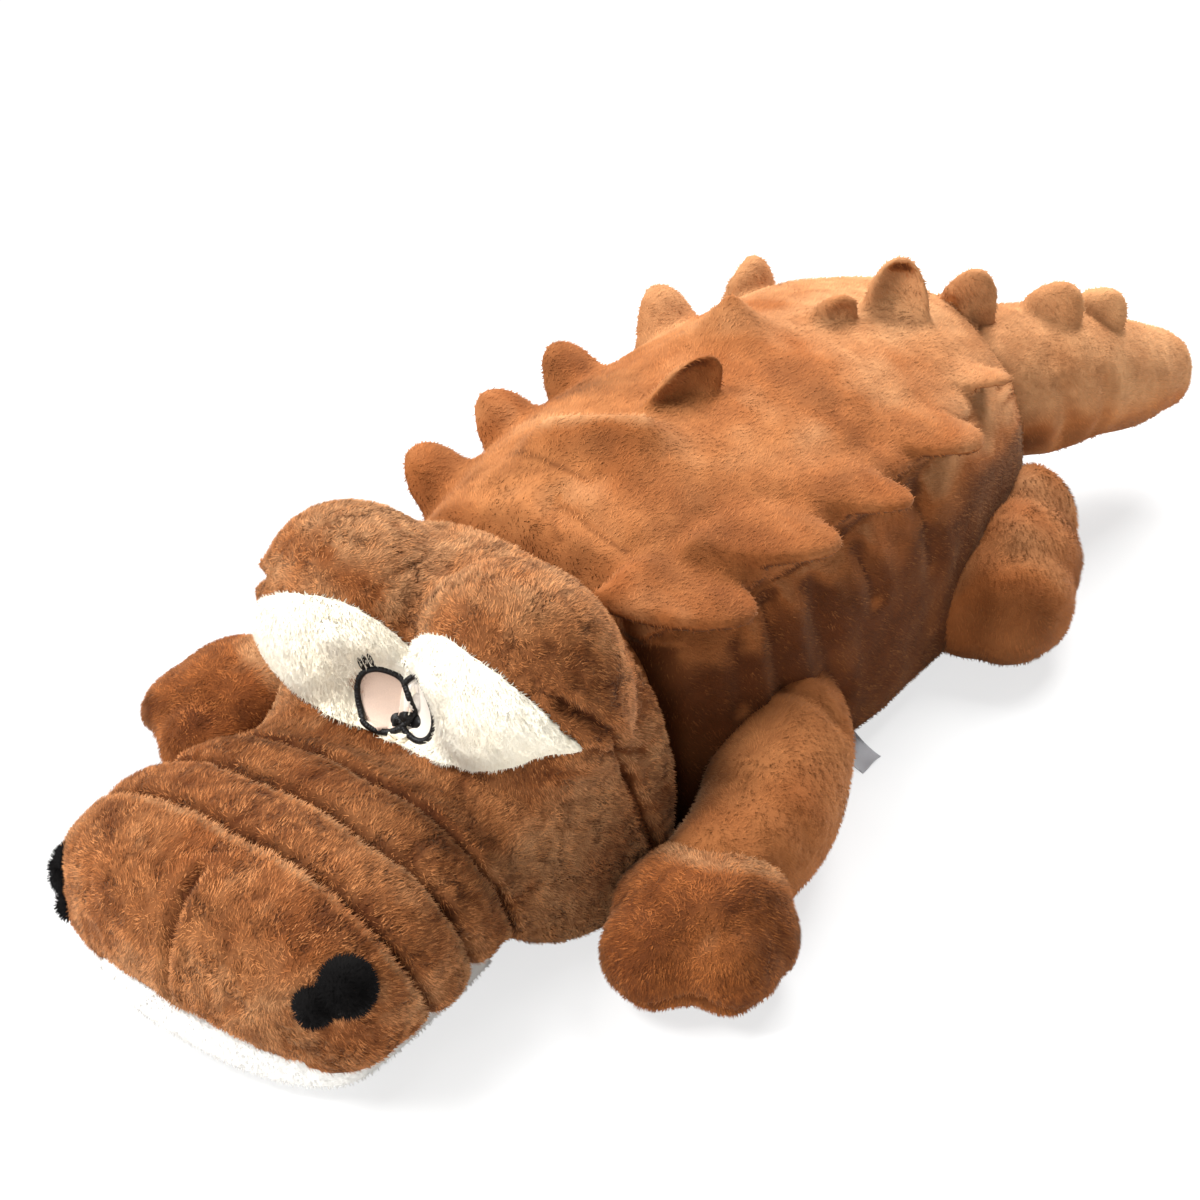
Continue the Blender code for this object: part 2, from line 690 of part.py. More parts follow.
def mitten(name, side, pivot, length, lobes, turns, extra, material=None):
    # Palm and two toes in one, each lobe standing on the floor
    limb_turn, lobe_turn = turns
    pieces = []
    for index, (place_shares, radii) in enumerate(lobes):
        steps = Vector((length * place_shares[0], length * place_shares[1], 0.0))
        centre = limb_point(pivot, steps, side, limb_turn)
        centre.z = radii[2] - FLAT_CUT
        grown = [radius + extra for radius in radii]
        lobe_name = name if index == 0 else name + "_toe_cutter_" + str(index)
        lobe_material = material if index == 0 else None
        spin = (lobe_turn - limb_turn) * side
        pieces.append(ball(lobe_name, centre, grown, PAW_SEGMENTS, lobe_material, spin))
    join(pieces[0], *pieces[1:])
    return pieces[0]


def make_arm(name, side, materials, floor, torso_cutters, head_cutter):
    near_torso, wide_torso = torso_cutters
    pivot = mirrored(torso_place(SHOULDER_PLACE_SHARES), side)
    rest_turn = ARM_REST_ANGLES[name]
    turns = (rest_turn, PAW_ANGLE)
    swung = turned_copy(wide_torso, "arm_swing_cutter_" + name, pivot, -ARM_SWING_ANGLE * side)
    turned_heads = []
    for pose, nod in (("down", 0.0), ("up", -HEAD_NOD_ANGLE)):
        head_name = "head_" + pose + "_cutter_" + name
        turned_heads.append(turned_copy(head_cutter, head_name, neck_centre(), HEAD_TURN_ANGLE * side, nod))
    paw = mitten("front_paw_" + name, side, pivot, ARM_LENGTH, PAW_LOBES, turns, 0.0, materials["paw"])
    cut(paw, floor, *turned_heads)
    wrist = mitten("wrist_cutter_" + name, side, pivot, ARM_LENGTH, PAW_LOBES, turns, GAP)
    line = [limb_point(pivot, Vector(step) * ARM_LENGTH, side, rest_turn) for step in ARM_LINE_SHARES]
    radii = [ARM_RADIUS * share for share in ARM_RADIUS_SHARES]
    arm = tube("front_leg_" + name, line, radii, LIMB_POINTS, False, materials["back"])
    cut(arm, near_torso, swung, *turned_heads, wrist)
    join(arm, turning_ball("shoulder_cutter_" + name, pivot, SHOULDER_RADIUS, BALL_SEGMENTS))
    set_pivot([arm, paw], pivot)


def make_hind_foot(name, side, materials, floor, torso_cutters):
    near_torso, wide_torso = torso_cutters
    pivot = mirrored(torso_place(HIP_PLACE_SHARES), side)
    forward = turned_copy(wide_torso, "leg_forward_cutter_" + name, pivot, LEG_SWING_ANGLE * side)
    backward = turned_copy(wide_torso, "leg_backward_cutter_" + name, pivot, -LEG_SWING_ANGLE * side)
    turns = (0.0, FOOT_ANGLE)
    foot = mitten("hind_foot_" + name, side, pivot, LEG_LENGTH, FOOT_LOBES, turns, 0.0, materials["back"])
    cut(foot, floor, near_torso, forward, backward)
    join(foot, turning_ball("hip_cutter_" + name, pivot, HIP_RADIUS, BALL_SEGMENTS))
    set_pivot([foot], pivot)


def make_limbs(materials):
    reach = TORSO_LENGTH + HEAD_LENGTH
    floor = box("floor_cutter", (-reach, -reach, -OVERRUN), (reach, reach, 0.0))
    near_torso = torso_form("limb_side_cutter", -LIMB_CLEARANCE)
    wide_torso = torso_form("limb_swing_cutter", -SWING_CLEARANCE)
    head_cutter = head_form("paw_side_cutter", -SWING_CLEARANCE)
    for name, side in SIDES:
        make_arm(name, side, materials, floor, (near_torso, wide_torso), head_cutter)
        make_hind_foot(name, side, materials, floor, (near_torso, wide_torso))


def tail_line():
    return [torso_place(TAIL_PLACE_SHARES) + Vector(step) * TAIL_LENGTH for step in TAIL_LINE_SHARES]


def tail_tube(name, inset, count, material=None):
    radii = [TAIL_RADIUS * share - inset for share in TAIL_RADIUS_SHARES]
    return tube(name, tail_line(), radii, count, True, material)


def tail_seam_line():
    # Follows the tail's lower side, so that the pale strip underneath keeps its share of the width
    line = []
    for point, share in zip(tail_line(), TAIL_RADIUS_SHARES):
        line.append((point.y, point.z - TAIL_RADIUS * share * TAIL_SEAM_SHARE))
    line.insert(0, (line[0][0] - TAIL_LENGTH, line[0][1]))
    line.append((line[-1][0] + TAIL_LENGTH, line[-1][1]))
    return line


def make_tail(materials):
    pivot = torso_place(TAIL_PLACE_SHARES)
    wide_torso = torso_form("tail_side_cutter", -SWING_CLEARANCE)
    root_ball = turning_ball("tail_root_cutter", pivot, TAIL_BALL_RADIUS, BALL_SEGMENTS)
    swings = []
    for side, degrees in (("left", -TAIL_SWING_ANGLE), ("rest", 0.0), ("right", TAIL_SWING_ANGLE)):
        swings.append(turned_copy(wide_torso, "tail_swing_cutter_" + side, pivot, degrees))
    hollow = tail_tube("tail_hollow_cutter", SKIN, TAIL_CORE_POINTS)
    reach = TORSO_HALF_WIDTH
    over = seam_cutter("tail_over_cutter", tail_seam_line(), True, TORSO_HEIGHT, reach)
    under = seam_cutter("tail_under_cutter", tail_seam_line(), False, TORSO_HEIGHT, reach)
    pieces = []
    for name, cutter, material in (("tail_top_panel", under, "back"), ("tail_under_panel", over, "cream")):
        panel = tail_tube(name, 0.0, TAIL_POINTS, materials[material])
        cut(panel, *swings)
        join(panel, root_ball)
        cut(panel, hollow, cutter)
        pieces.append(panel)
    filling = tail_tube("tail_filling", SKIN + GAP, TAIL_CORE_POINTS, materials["filling"])
    pieces.append(filling)
    return pieces


def scute(name, root, direction, along, shares, sizes, material):
    # An ear of cloth: its long side lies along the row that it is sewn into, its tip points outward
    long_share, high_share = shares
    reach = sizes[0] * high_share
    half_length = sizes[1] * long_share
    half_thickness = sizes[2] * high_share
    direction = direction.normalized()
    along = (along - direction * along.dot(direction)).normalized()
    across = direction.cross(along)
    if across.z < 0.0:
        across = -across
    rings = []
    rows = [(-SCUTE_ROOT, 1.0)]
    for k in range(SCUTE_STEPS):
        angle = math.radians(SCUTE_TIP_ANGLE) * k / (SCUTE_STEPS - 1)
        rows.append((reach * math.sin(angle) ** (2.0 / SCUTE_POWER), math.cos(angle) ** (2.0 / SCUTE_POWER)))
    for lift, taper in rows:
        ring = []
        for i in range(SCUTE_POINTS):
            angle = FULL_TURN * i / SCUTE_POINTS
            thick = math.sin(angle)
            if thick < 0.0:
                thick *= SCUTE_UNDER_SHARE
            sideways = along * half_length * taper * math.cos(angle)
            upward = across * half_thickness * math.sqrt(taper) * thick
            ring.append(root + direction * lift + sideways + upward)
        rings.append(ring)
    bm = bmesh.new()
    skin_rings(bm, rings)
    return new_object(name, bm, material)


def make_scutes(materials):
    torso_cutter = torso_form("scute_side_cutter", -GAP)
    cloth = materials["back"]
    forward = Vector((0.0, 1.0, 0.0))
    sizes = (SIDE_SCUTE_REACH, SIDE_SCUTE_HALF_LENGTH, SIDE_SCUTE_HALF_THICKNESS)
    for name, side in SIDES:
        for index, (along, *shares) in enumerate(SIDE_SCUTE_SHARES):
            root = mirrored(torso_side_point(FLANK_SEAM_SHARE, along), side)
            direction = Vector((side, SIDE_SCUTE_LEAN_SHARE, SIDE_SCUTE_RISE_SHARE))
            scute_name = "scute_" + name + "_" + str(index + 1)
            shape = scute(scute_name, root, direction, forward, shares, sizes, cloth)
            cut(shape, torso_cutter)
    sizes = (MID_SCUTE_REACH, MID_SCUTE_HALF_LENGTH, MID_SCUTE_HALF_THICKNESS)
    direction = Vector((0.0, MID_SCUTE_LEAN_SHARE, 1.0))
    for index, ((across, along, *shares), turn) in enumerate(zip(MID_SCUTE_SHARES, MID_SCUTE_ANGLES)):
        root = torso_top_point(across, along)
        long_side = Vector((math.cos(math.radians(turn)), math.sin(math.radians(turn)), 0.0))
        scute_name = "scute_mid_" + str(index + 1)
        shape = scute(scute_name, root, direction, long_side, shares, sizes, cloth)
        cut(shape, torso_cutter)
    sizes = (TAIL_SCUTE_REACH, TAIL_SCUTE_HALF_LENGTH, TAIL_SCUTE_HALF_THICKNESS)
    across, along, *shares = RUMP_SCUTE_SHARES
    root = torso_top_point(across, along)
    rump = scute("scute_rump", root, direction, forward, shares, sizes, cloth)
    cut(rump, torso_cutter)


def make_tail_scutes(materials):
    tail_cutter = tail_tube("tail_scute_side_cutter", -GAP, TAIL_POINTS)
    line = tail_line()
    sizes = (TAIL_SCUTE_REACH, TAIL_SCUTE_HALF_LENGTH, TAIL_SCUTE_HALF_THICKNESS)
    pieces = []
    for index, station in enumerate(TAIL_SCUTE_STATIONS):
        root = line[station] + UP * TAIL_RADIUS * TAIL_RADIUS_SHARES[station]
        scute_name = "tail_scute_" + str(index + 1)
        shape = scute(scute_name, root, UP, line[-1] - line[0], TAIL_SCUTE_SHARES, sizes, materials["back"])
        cut(shape, tail_cutter)
        pieces.append(shape)
    return pieces


def make_label(materials):
    seam = torso_side_point(BELLY_SEAM / TORSO_HEIGHT, LABEL_PLACE_SHARE)
    slope = math.asin(LABEL_DROP / LABEL_LENGTH)
    half = LABEL_THICKNESS / 2.0
    wide = LABEL_WIDTH / 2.0
    rings = []
    for i in range(LABEL_STEPS + 1):
        share = i / LABEL_STEPS
        sag = LABEL_SAG * math.sin(HALF_TURN * share)
        centre = seam + Vector((math.cos(slope) * LABEL_LENGTH * share, 0.0, -LABEL_DROP * share - sag))
        corners = ((-wide, -half), (wide, -half), (wide, half), (-wide, half))
        rings.append([centre + Vector((0.0, y, z)) for y, z in corners])
    bm = bmesh.new()
    skin_rings(bm, rings)
    label = new_object("care_label", bm, materials["label"])
    label.data.shade_flat()
    cut(label, torso_form("label_side_cutter", -2.5 * GAP))
    set_pivot([label], seam)


def build():
    clear_scene()
    materials = make_materials()
    pockets = make_pockets()
    make_torso(materials, pockets)
    make_neck(materials)
    make_head(materials, pockets["neck"])
    make_face(materials)
    make_limbs(materials)
    tail = make_tail(materials)
    tail += make_tail_scutes(materials)
    set_pivot(tail, torso_place(TAIL_PLACE_SHARES))
    make_scutes(materials)
    make_label(materials)


build()
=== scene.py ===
import math

import bpy
import numpy as np
from mathutils import Matrix, Vector
from mathutils.bvhtree import BVHTree


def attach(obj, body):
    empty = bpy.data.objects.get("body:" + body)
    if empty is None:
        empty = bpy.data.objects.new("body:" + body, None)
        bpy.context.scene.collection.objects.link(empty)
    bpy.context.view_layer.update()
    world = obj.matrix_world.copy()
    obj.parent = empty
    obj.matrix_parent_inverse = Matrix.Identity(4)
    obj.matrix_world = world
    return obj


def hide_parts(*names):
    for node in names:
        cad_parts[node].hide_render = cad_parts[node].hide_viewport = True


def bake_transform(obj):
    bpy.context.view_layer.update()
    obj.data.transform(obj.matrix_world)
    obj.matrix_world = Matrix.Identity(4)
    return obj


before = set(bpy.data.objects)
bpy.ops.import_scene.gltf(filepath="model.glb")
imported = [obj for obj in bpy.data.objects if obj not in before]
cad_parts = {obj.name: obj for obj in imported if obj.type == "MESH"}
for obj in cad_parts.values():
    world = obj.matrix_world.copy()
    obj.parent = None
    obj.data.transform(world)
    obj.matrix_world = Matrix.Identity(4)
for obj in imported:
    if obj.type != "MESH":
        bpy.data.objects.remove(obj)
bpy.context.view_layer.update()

# The toy faces -Y, its own left is +X, the floor is z = 0. Lengths are metres.


# ---- small helpers

def useOnly(thing):
    bpy.ops.object.select_all(action="DESELECT")
    thing.select_set(True)
    bpy.context.view_layer.objects.active = thing


def applyModifier(thing, kind, **settings):
    useOnly(thing)
    bpy.ops.object.modifier_add(type=kind)
    modifier = thing.modifiers[-1]
    for key, value in settings.items():
        setattr(modifier, key, value)
    bpy.ops.object.modifier_apply(modifier=modifier.name)


def readPoints(thing, what="co"):
    out = np.empty(len(thing.data.vertices) * 3)
    thing.data.vertices.foreach_get(what, out)
    return out.reshape(-1, 3)


def pointsAndNormals(thing):
    return readPoints(thing), readPoints(thing, "normal")


def writePoints(thing, co):
    thing.data.vertices.foreach_set("co", np.ascontiguousarray(co, dtype=np.float32).ravel())
    thing.data.update()


def writeValues(mesh, name, values):
    # One number for each vertex, for the materials to read
    mesh.attributes.new(name, "FLOAT", "POINT").data.foreach_set("value", values)


def addShape(name, operator, **settings):
    bpy.ops.object.select_all(action="DESELECT")
    operator(**settings)
    bpy.context.object.name = name
    return bpy.context.object


def signedPower(value, power):
    return np.sign(value) * np.abs(value) ** power


def smoothStep(low, high, value):
    t = np.clip((value - low) / (high - low), 0, 1)
    return t * t * (3 - 2 * t)


def bell(value, width):
    return np.exp(-(value / width) ** 2)


def unit(vector):
    vector = np.asarray(vector, float)
    return vector / np.maximum(np.linalg.norm(vector, axis=-1, keepdims=True), 1e-9)


def smoothLine(places, values, wanted):
    # Cubic curve through a table
    x = np.asarray(places, float)
    y = np.asarray(values, float)
    slope = np.gradient(y, x)
    i = np.clip(np.searchsorted(x, wanted) - 1, 0, len(x) - 2)
    step = x[i + 1] - x[i]
    t = np.clip((wanted - x[i]) / step, 0, 1)
    a = 2 * t ** 3 - 3 * t ** 2 + 1
    b = t ** 3 - 2 * t ** 2 + t
    c = -2 * t ** 3 + 3 * t ** 2
    d = t ** 3 - t ** 2
    return a * y[i] + b * step * slope[i] + c * y[i + 1] + d * step * slope[i + 1]


def softNoise(co, size, seed):
    # Smooth random numbers from -1 to 1 that change over about one size
    cells, start = 32, 1000.0
    table = np.random.default_rng(seed).uniform(-1, 1, (cells, cells, cells))
    p = co / size + start
    cell = np.floor(p).astype(int)
    t = p - cell
    t = t * t * (3 - 2 * t)
    out = np.zeros(len(co))
    for dx in (0, 1):
        for dy in (0, 1):
            for dz in (0, 1):
                weight = np.where(dx, t[:, 0], 1 - t[:, 0])
                weight = weight * np.where(dy, t[:, 1], 1 - t[:, 1])
                weight = weight * np.where(dz, t[:, 2], 1 - t[:, 2])
                x, y, z = ((cell + (dx, dy, dz)) % cells).T
                out += weight * table[x, y, z]
    return out


def distanceTo(co, line):
    # Distance of each point to a line of straight runs
    best = np.full(len(co), 1e9)
    line = np.asarray(line, float)
    for a, b in zip(line[:-1], line[1:]):
        run = b - a
        t = np.clip(((co - a) @ run) / max(run @ run, 1e-12), 0, 1)
        best = np.minimum(best, np.linalg.norm(co - a - t[:, None] * run, axis=1))
    return best


def surfaceOf(thing):
    return BVHTree.FromPolygons([v.co[:] for v in thing.data.vertices], [p.vertices[:] for p in thing.data.polygons])


def lengthsAlong(points):
    return np.concatenate([[0], np.cumsum(np.linalg.norm(np.diff(points, axis=0), axis=1))])


def evenLine(points, count):
    # Smooth curve through some points, evenly spaced
    points = np.asarray(points, float)
    run = lengthsAlong(points)
    at = np.linspace(0, run[-1], count)
    return np.stack([smoothLine(run, points[:, i], at) for i in range(points.shape[1])], 1)


def snapLine(tree, points, count=30):
    # A smooth line laid onto a surface
    return np.array([tree.find_nearest(Vector(p))[0] for p in evenLine(points, count)])


def grooves(thing, lines, open_=1.0):
    # Sewn creases and soft folds: each line with its depth and half width, drawn into the surface where it is open
    tree = surfaceOf(thing)
    co, out = pointsAndNormals(thing)
    move, bare = np.zeros(len(co)), np.zeros(len(co))
    rough = 1 + 0.35 * softNoise(co, 0.02, 5)
    for points, depth, width in lines:
        away = distanceTo(co, snapLine(tree, points))
        move -= depth * rough * bell(away, width)
        move += depth * 0.35 * bell(away - 2.0 * width, width)
        bare = np.maximum(bare, bell(away, 0.0024))
    writePoints(thing, co + out * (move * open_)[:, None])
    return bare * open_


def soften(thing, weight, rounds):
    # Relaxes part of a surface; the weight is 0 to 1 for each point
    mesh = thing.data
    edges = np.empty(len(mesh.edges) * 2, dtype=int)
    mesh.edges.foreach_get("vertices", edges)
    a, b = edges[0::2], edges[1::2]
    co = readPoints(thing)
    count = len(co)
    near = np.bincount(a, minlength=count) + np.bincount(b, minlength=count)
    for _ in range(rounds):
        mean = np.stack([
            np.bincount(a, co[b, i], count) + np.bincount(b, co[a, i], count) for i in range(3)], 1) / near[:, None]
        co += (mean - co) * (0.6 * weight)[:, None]
    writePoints(thing, co)


def puffUp(thing, big=0.0022, small=0.0009, seed=1):
    # Uneven filling below the cloth
    co, out = pointsAndNormals(thing)
    move = big * softNoise(co, 0.06, seed) + small * softNoise(co, 0.022, seed + 1)
    writePoints(thing, co + out * move[:, None])


def facesOut(thing):
    useOnly(thing)
    bpy.ops.object.mode_set(mode="EDIT")
    bpy.ops.mesh.select_all(action="SELECT")
    bpy.ops.mesh.normals_make_consistent(inside=False)
    bpy.ops.object.mode_set(mode="OBJECT")


def stuffedForm(name, grid):
    # A UV sphere whose points are moved to rings of points; the first and last ring are its poles
    rings, segments = grid.shape[0] - 1, grid.shape[1]
    thing = addShape(name, bpy.ops.mesh.primitive_uv_sphere_add, segments=segments, ring_count=rings, radius=1.0)
    co = readPoints(thing)
    k = np.rint(np.arccos(np.clip(co[:, 2], -1, 1)) / math.pi * rings).astype(int)
    j = np.rint(np.arctan2(co[:, 1], co[:, 0]) / (2 * math.pi) * segments).astype(int) % segments
    writePoints(thing, grid[k, j])
    facesOut(thing)
    return thing


def blob(name, centre, radii, turn=0.0, segments=48):
    thing = addShape(
        name, bpy.ops.mesh.primitive_uv_sphere_add, segments=segments, ring_count=segments // 2, radius=1.0)
    spin = Matrix.Rotation(math.radians(turn), 4, "Z")
    thing.data.transform(Matrix.Translation(centre) @ spin @ Matrix.Diagonal((*radii, 1.0)))
    return thing


def melt(name, parts, voxel, smooth=0, factor=0.5):
    # Joined and remeshed into one closed cloth
    bpy.ops.object.select_all(action="DESELECT")
    for part in parts:
        part.select_set(True)
    bpy.context.view_layer.objects.active = parts[0]
    if len(parts) > 1:
        bpy.ops.object.join()
    thing = bpy.context.object
    thing.name = name
    thing.data.name = name
    applyModifier(thing, "REMESH", mode="VOXEL", voxel_size=voxel, adaptivity=0.0)
    if smooth:
        applyModifier(thing, "SMOOTH", iterations=smooth, factor=factor)
    useOnly(thing)
    bpy.ops.object.shade_smooth()
    return thing


def sectionLine(halfWidth, top, bottom, belt, upper, lower, count):
    # One cross-section, evenly spaced: arched above the belt and squarer below it
    a = np.linspace(0, 2 * math.pi, 1441)
    c, s = np.cos(a), np.sin(a)
    power = np.where(s >= 0, upper, lower)
    x = halfWidth * signedPower(c, power)
    z = belt + np.where(s >= 0, top - belt, belt - bottom) * signedPower(s, power)
    run = np.concatenate([[0], np.cumsum(np.hypot(np.diff(x), np.diff(z)))])
    at = np.linspace(0, run[-1], count, endpoint=False)
    return np.interp(at, run, x), np.interp(at, run, z)


def longForm(name, rows, caps, powers, rings, segments):
    # Stuffed form along Y. rows: y, half width, top, bottom, belt. caps: how long the round ends are
    rows = sorted(rows)
    samples = 800
    y = [row[0] for row in rows]
    dense = y[0] + (y[-1] - y[0]) * (1 - np.cos(np.linspace(0, math.pi, samples))) / 2
    wide, top, bottom, belt = [smoothLine(y, [row[i] for row in rows], dense) for i in (1, 2, 3, 4)]
    round0 = np.clip((y[0] + caps[0] - dense) / caps[0], 0, 1)
    round1 = np.clip((dense - y[-1] + caps[1]) / caps[1], 0, 1)
    k = np.sqrt(np.clip(1 - round0 ** 2.2, 0, 1)) * np.sqrt(np.clip(1 - round1 ** 2.2, 0, 1))
    wide = wide * k
    top = belt + (top - belt) * k
    bottom = belt - (belt - bottom) * k
    run = np.concatenate([[0], np.cumsum(np.sqrt(np.diff(dense) ** 2 + np.diff(wide) ** 2 + np.diff(top) ** 2))])
    at = np.interp(np.linspace(0, run[-1], rings + 1), run, np.arange(samples))
    grid = np.zeros((rings + 1, segments, 3))
    for i, place in enumerate(at):
        values = [np.interp(place, np.arange(samples), v) for v in (dense, wide, top, bottom, belt)]
        x, z = sectionLine(*values[1:], *powers, segments)
        grid[i, :, 0], grid[i, :, 1], grid[i, :, 2] = x, values[0], z
    grid[0] = grid[0].mean(0)
    grid[-1] = grid[-1].mean(0)
    return stuffedForm(name, grid)


def tubeForm(name, line, radii, count, segments, flat=1.0):
    # Stuffed tube along a curved line, round at both ends
    line = np.asarray(line, float)
    run = lengthsAlong(line)
    centre = evenLine(line, count)
    radius = smoothLine(run, radii, np.linspace(0, run[-1], count))
    way = unit(np.gradient(centre, axis=0))
    angles = np.linspace(0, math.pi / 2, 14)
    start = [(centre[0] - way[0] * radius[0] * math.cos(t), way[0], radius[0] * math.sin(t)) for t in angles[:-1]]
    end = [(centre[-1] + way[-1] * radius[-1] * math.cos(t), way[-1], radius[-1] * math.sin(t)) for t in angles[:-1]]
    rows = start + list(zip(centre, way, radius)) + end[::-1]
    grid = np.zeros((len(rows), segments, 3))
    a = np.linspace(0, 2 * math.pi, segments, endpoint=False)
    for i, (middle, direction, size) in enumerate(rows):
        across = unit(np.cross(direction, (0, 0, 1)))
        rise = np.cross(across, direction)
        grid[i] = middle + size * (np.cos(a)[:, None] * across + flat * np.sin(a)[:, None] * rise)
    return stuffedForm(name, grid)


def earForm(root, tip, along, halfWidth, thick, hollow, inset=0.022, lip=0.006, blunt=2.6, faces=(0, 0, -1), edge=0.75):
    # A cloth ear: domed on one side, hollow on the side that faces the given way,
    # round at its tip and rolled at its edge
    root, tip = np.asarray(root, float), np.asarray(tip, float)
    out = unit(tip - root)
    reach = np.linalg.norm(tip - root)
    side = unit(np.asarray(along, float))
    top = unit(np.cross(out, side))
    if np.dot(top, faces) > 0:
        top = -top
    rings, segments = 33, 48
    t = np.linspace(0, 1, rings)
    t = 1 - (1 - t) ** 1.5
    a = np.linspace(0, 2 * math.pi, segments, endpoint=False)
    height = signedPower(np.sin(a), edge)
    grid = np.zeros((rings, segments, 3))
    for i, share in enumerate(t):
        place = -inset + (reach + inset) * share
        full = math.sqrt(max(0.0, 1 - share ** blunt))
        open_ = smoothStep(0.15, 0.5, share) * smoothStep(1.0, 0.8, share)
        wide = halfWidth * full * (0.92 + 0.08 * share)
        under = lip * full ** 0.7 * height + hollow * open_ * np.sin(a) ** 4
        rise = np.where(np.sin(a) > 0, thick * full ** 0.7 * height, under)
        grid[i] = root + out * place + side * (wide * np.cos(a))[:, None] + top * rise[:, None]
    grid[0] = grid[0].mean(0)
    grid[-1] = grid[-1].mean(0)
    return stuffedForm("ear", grid)


# ---- materials: shader maths as Python expressions

class Wire:
    # One socket of a node tree; expressions on it add Math nodes
    def __init__(self, tree, socket):
        self.tree = tree
        self.socket = socket

    def math(self, operation, *values, clamp=False):
        settings = {"operation": operation, "use_clamp": clamp}
        return addNode(self.tree, "ShaderNodeMath", settings, dict(enumerate(values)))

    def __add__(self, other):
        return self.math("ADD", self, other)

    def __sub__(self, other):
        return self.math("SUBTRACT", self, other)

    def __mul__(self, other):
        return self.math("MULTIPLY", self, other)

    def __radd__(self, other):
        return self.math("ADD", other, self)

    def __rsub__(self, other):
        return self.math("SUBTRACT", other, self)

    def __rmul__(self, other):
        return self.math("MULTIPLY", other, self)

    def clip(self):
        return self.math("ADD", self, 0.0, clamp=True)

    def size(self):
        return self.math("ABSOLUTE", self)


def addNode(tree, kind, settings=None, inputs=None, output=0):
    node = tree.nodes.new(kind)
    for key, value in (settings or {}).items():
        setattr(node, key, value)
    for key, value in (inputs or {}).items():
        if isinstance(value, Wire):
            tree.links.new(value.socket, node.inputs[key])
        else:
            node.inputs[key].default_value = value
    return Wire(tree, node.outputs[output])


def tint(red, green, blue):
    # A colour as the eye reads it, 0 to 255, as the renderer wants it
    out = []
    for value in (red, green, blue):
        value = value / 255.0
        out.append(value / 12.92 if value <= 0.04045 else ((value + 0.055) / 1.055) ** 2.4)
    return (*out, 1.0)


def mixColours(tree, share, first, second, way="MIX"):
    return addNode(tree, "ShaderNodeMix", {"data_type": "RGBA", "blend_type": way}, {0: share, 6: first, 7: second}, 2)


def newMaterial(name):
    material = bpy.data.materials.new(name)
    material.use_nodes = True
    tree = material.node_tree
    return material, tree, tree.nodes["Principled BSDF"]


def setSockets(shader, **values):
    for key, value in values.items():
        shader.inputs[key.replace("_", " ")].default_value = value


def plush(name, look, strands=False):
    # Short pile: soft patches where the nap lies another way, clumps, and darker roots. The 'nap' attribute paints
    # light and shade, and the darkening between clumps, in the partings, at the roots and on the cloth under the pile
    # is painted shade
    material, tree, shader = newMaterial(name)
    place = addNode(tree, "ShaderNodeTexCoord", output=3)

    def noise(scale, detail=2.0, rough=0.5, stretch=(1, 1, 1)):
        moved = addNode(tree, "ShaderNodeMapping", {}, {0: place, 3: stretch})
        inputs = {"Vector": moved, "Scale": scale, "Detail": detail, "Roughness": rough}
        return addNode(tree, "ShaderNodeTexNoise", {}, inputs)

    patches = noise(look["patchScale"], 2.0, 0.55)
    clumps = noise(look["clumpScale"], 3.0, 0.6)
    winding = noise(look["crackScale"], 2.0, 0.6, (1.0, 0.7, 1.0))
    parted = (1 - (winding - 0.5).size() * 11).clip() * ((noise(look["crackScale"] * 0.45) - 0.47) * 5).clip()
    patchShare = ((patches - 0.36) * 3.4).clip()
    clumpShare = ((clumps - 0.30) * 2.6).clip()
    nap = addNode(tree, "ShaderNodeAttribute", {"attribute_name": "nap"}, output=2)
    colour = mixColours(tree, patchShare, look["mid"], look["light"])
    # Painted light and shade: the 'nap' attribute also holds random tone, and turns the colour pale where lit and deep
    # where shaded
    colour = mixColours(tree, nap.clip() * 0.9, colour, look["pale"])
    colour = mixColours(tree, (0 - nap).clip() * 0.95, colour, look["deepAndShaded"])
    # Painted shade in the low parts between clumps and in the partings
    colour = mixColours(tree, (1 - clumpShare) * look["clumpDepth"], colour, look["dark"])
    colour = mixColours(tree, parted * look["crackDepth"], colour, look["crack"])
    if strands:
        tip = addNode(tree, "ShaderNodeAttribute", {"attribute_name": "strandTip"}, output=2)
        tone = addNode(tree, "ShaderNodeAttribute", {"attribute_name": "strandTone"}, output=2)
        # Painted shade at the strand roots
        colour = mixColours(tree, (1 - tip) * look["rootDark"], colour, look["dark"])
        colour = mixColours(tree, (tone - 0.55).clip() * (2.0 * look["toneSpread"]), colour, look["light"])
        colour = mixColours(tree, (0.45 - tone).clip() * (2.0 * look["toneSpread"]), colour, look["crack"])
    else:
        fine = noise(900.0, 1.0)
        # Painted shade on the cloth under the pile
        colour = mixColours(tree, look["underDark"], colour, look["crack"])
        height = clumps * 0.6 + fine * 0.3 - parted * look["crackDepth"]
        bump = addNode(tree, "ShaderNodeBump", {}, {"Strength": look["bump"], "Distance": 0.003, "Height": height})
        tree.links.new(bump.socket, shader.inputs["Normal"])
    tree.links.new(colour.socket, shader.inputs["Base Color"])
    setSockets(shader, Roughness=0.92, Sheen_Weight=look["sheen"], Sheen_Roughness=0.40, Sheen_Tint=look["sheenTint"])
    setSockets(shader, Specular_IOR_Level=0.1)
    return material
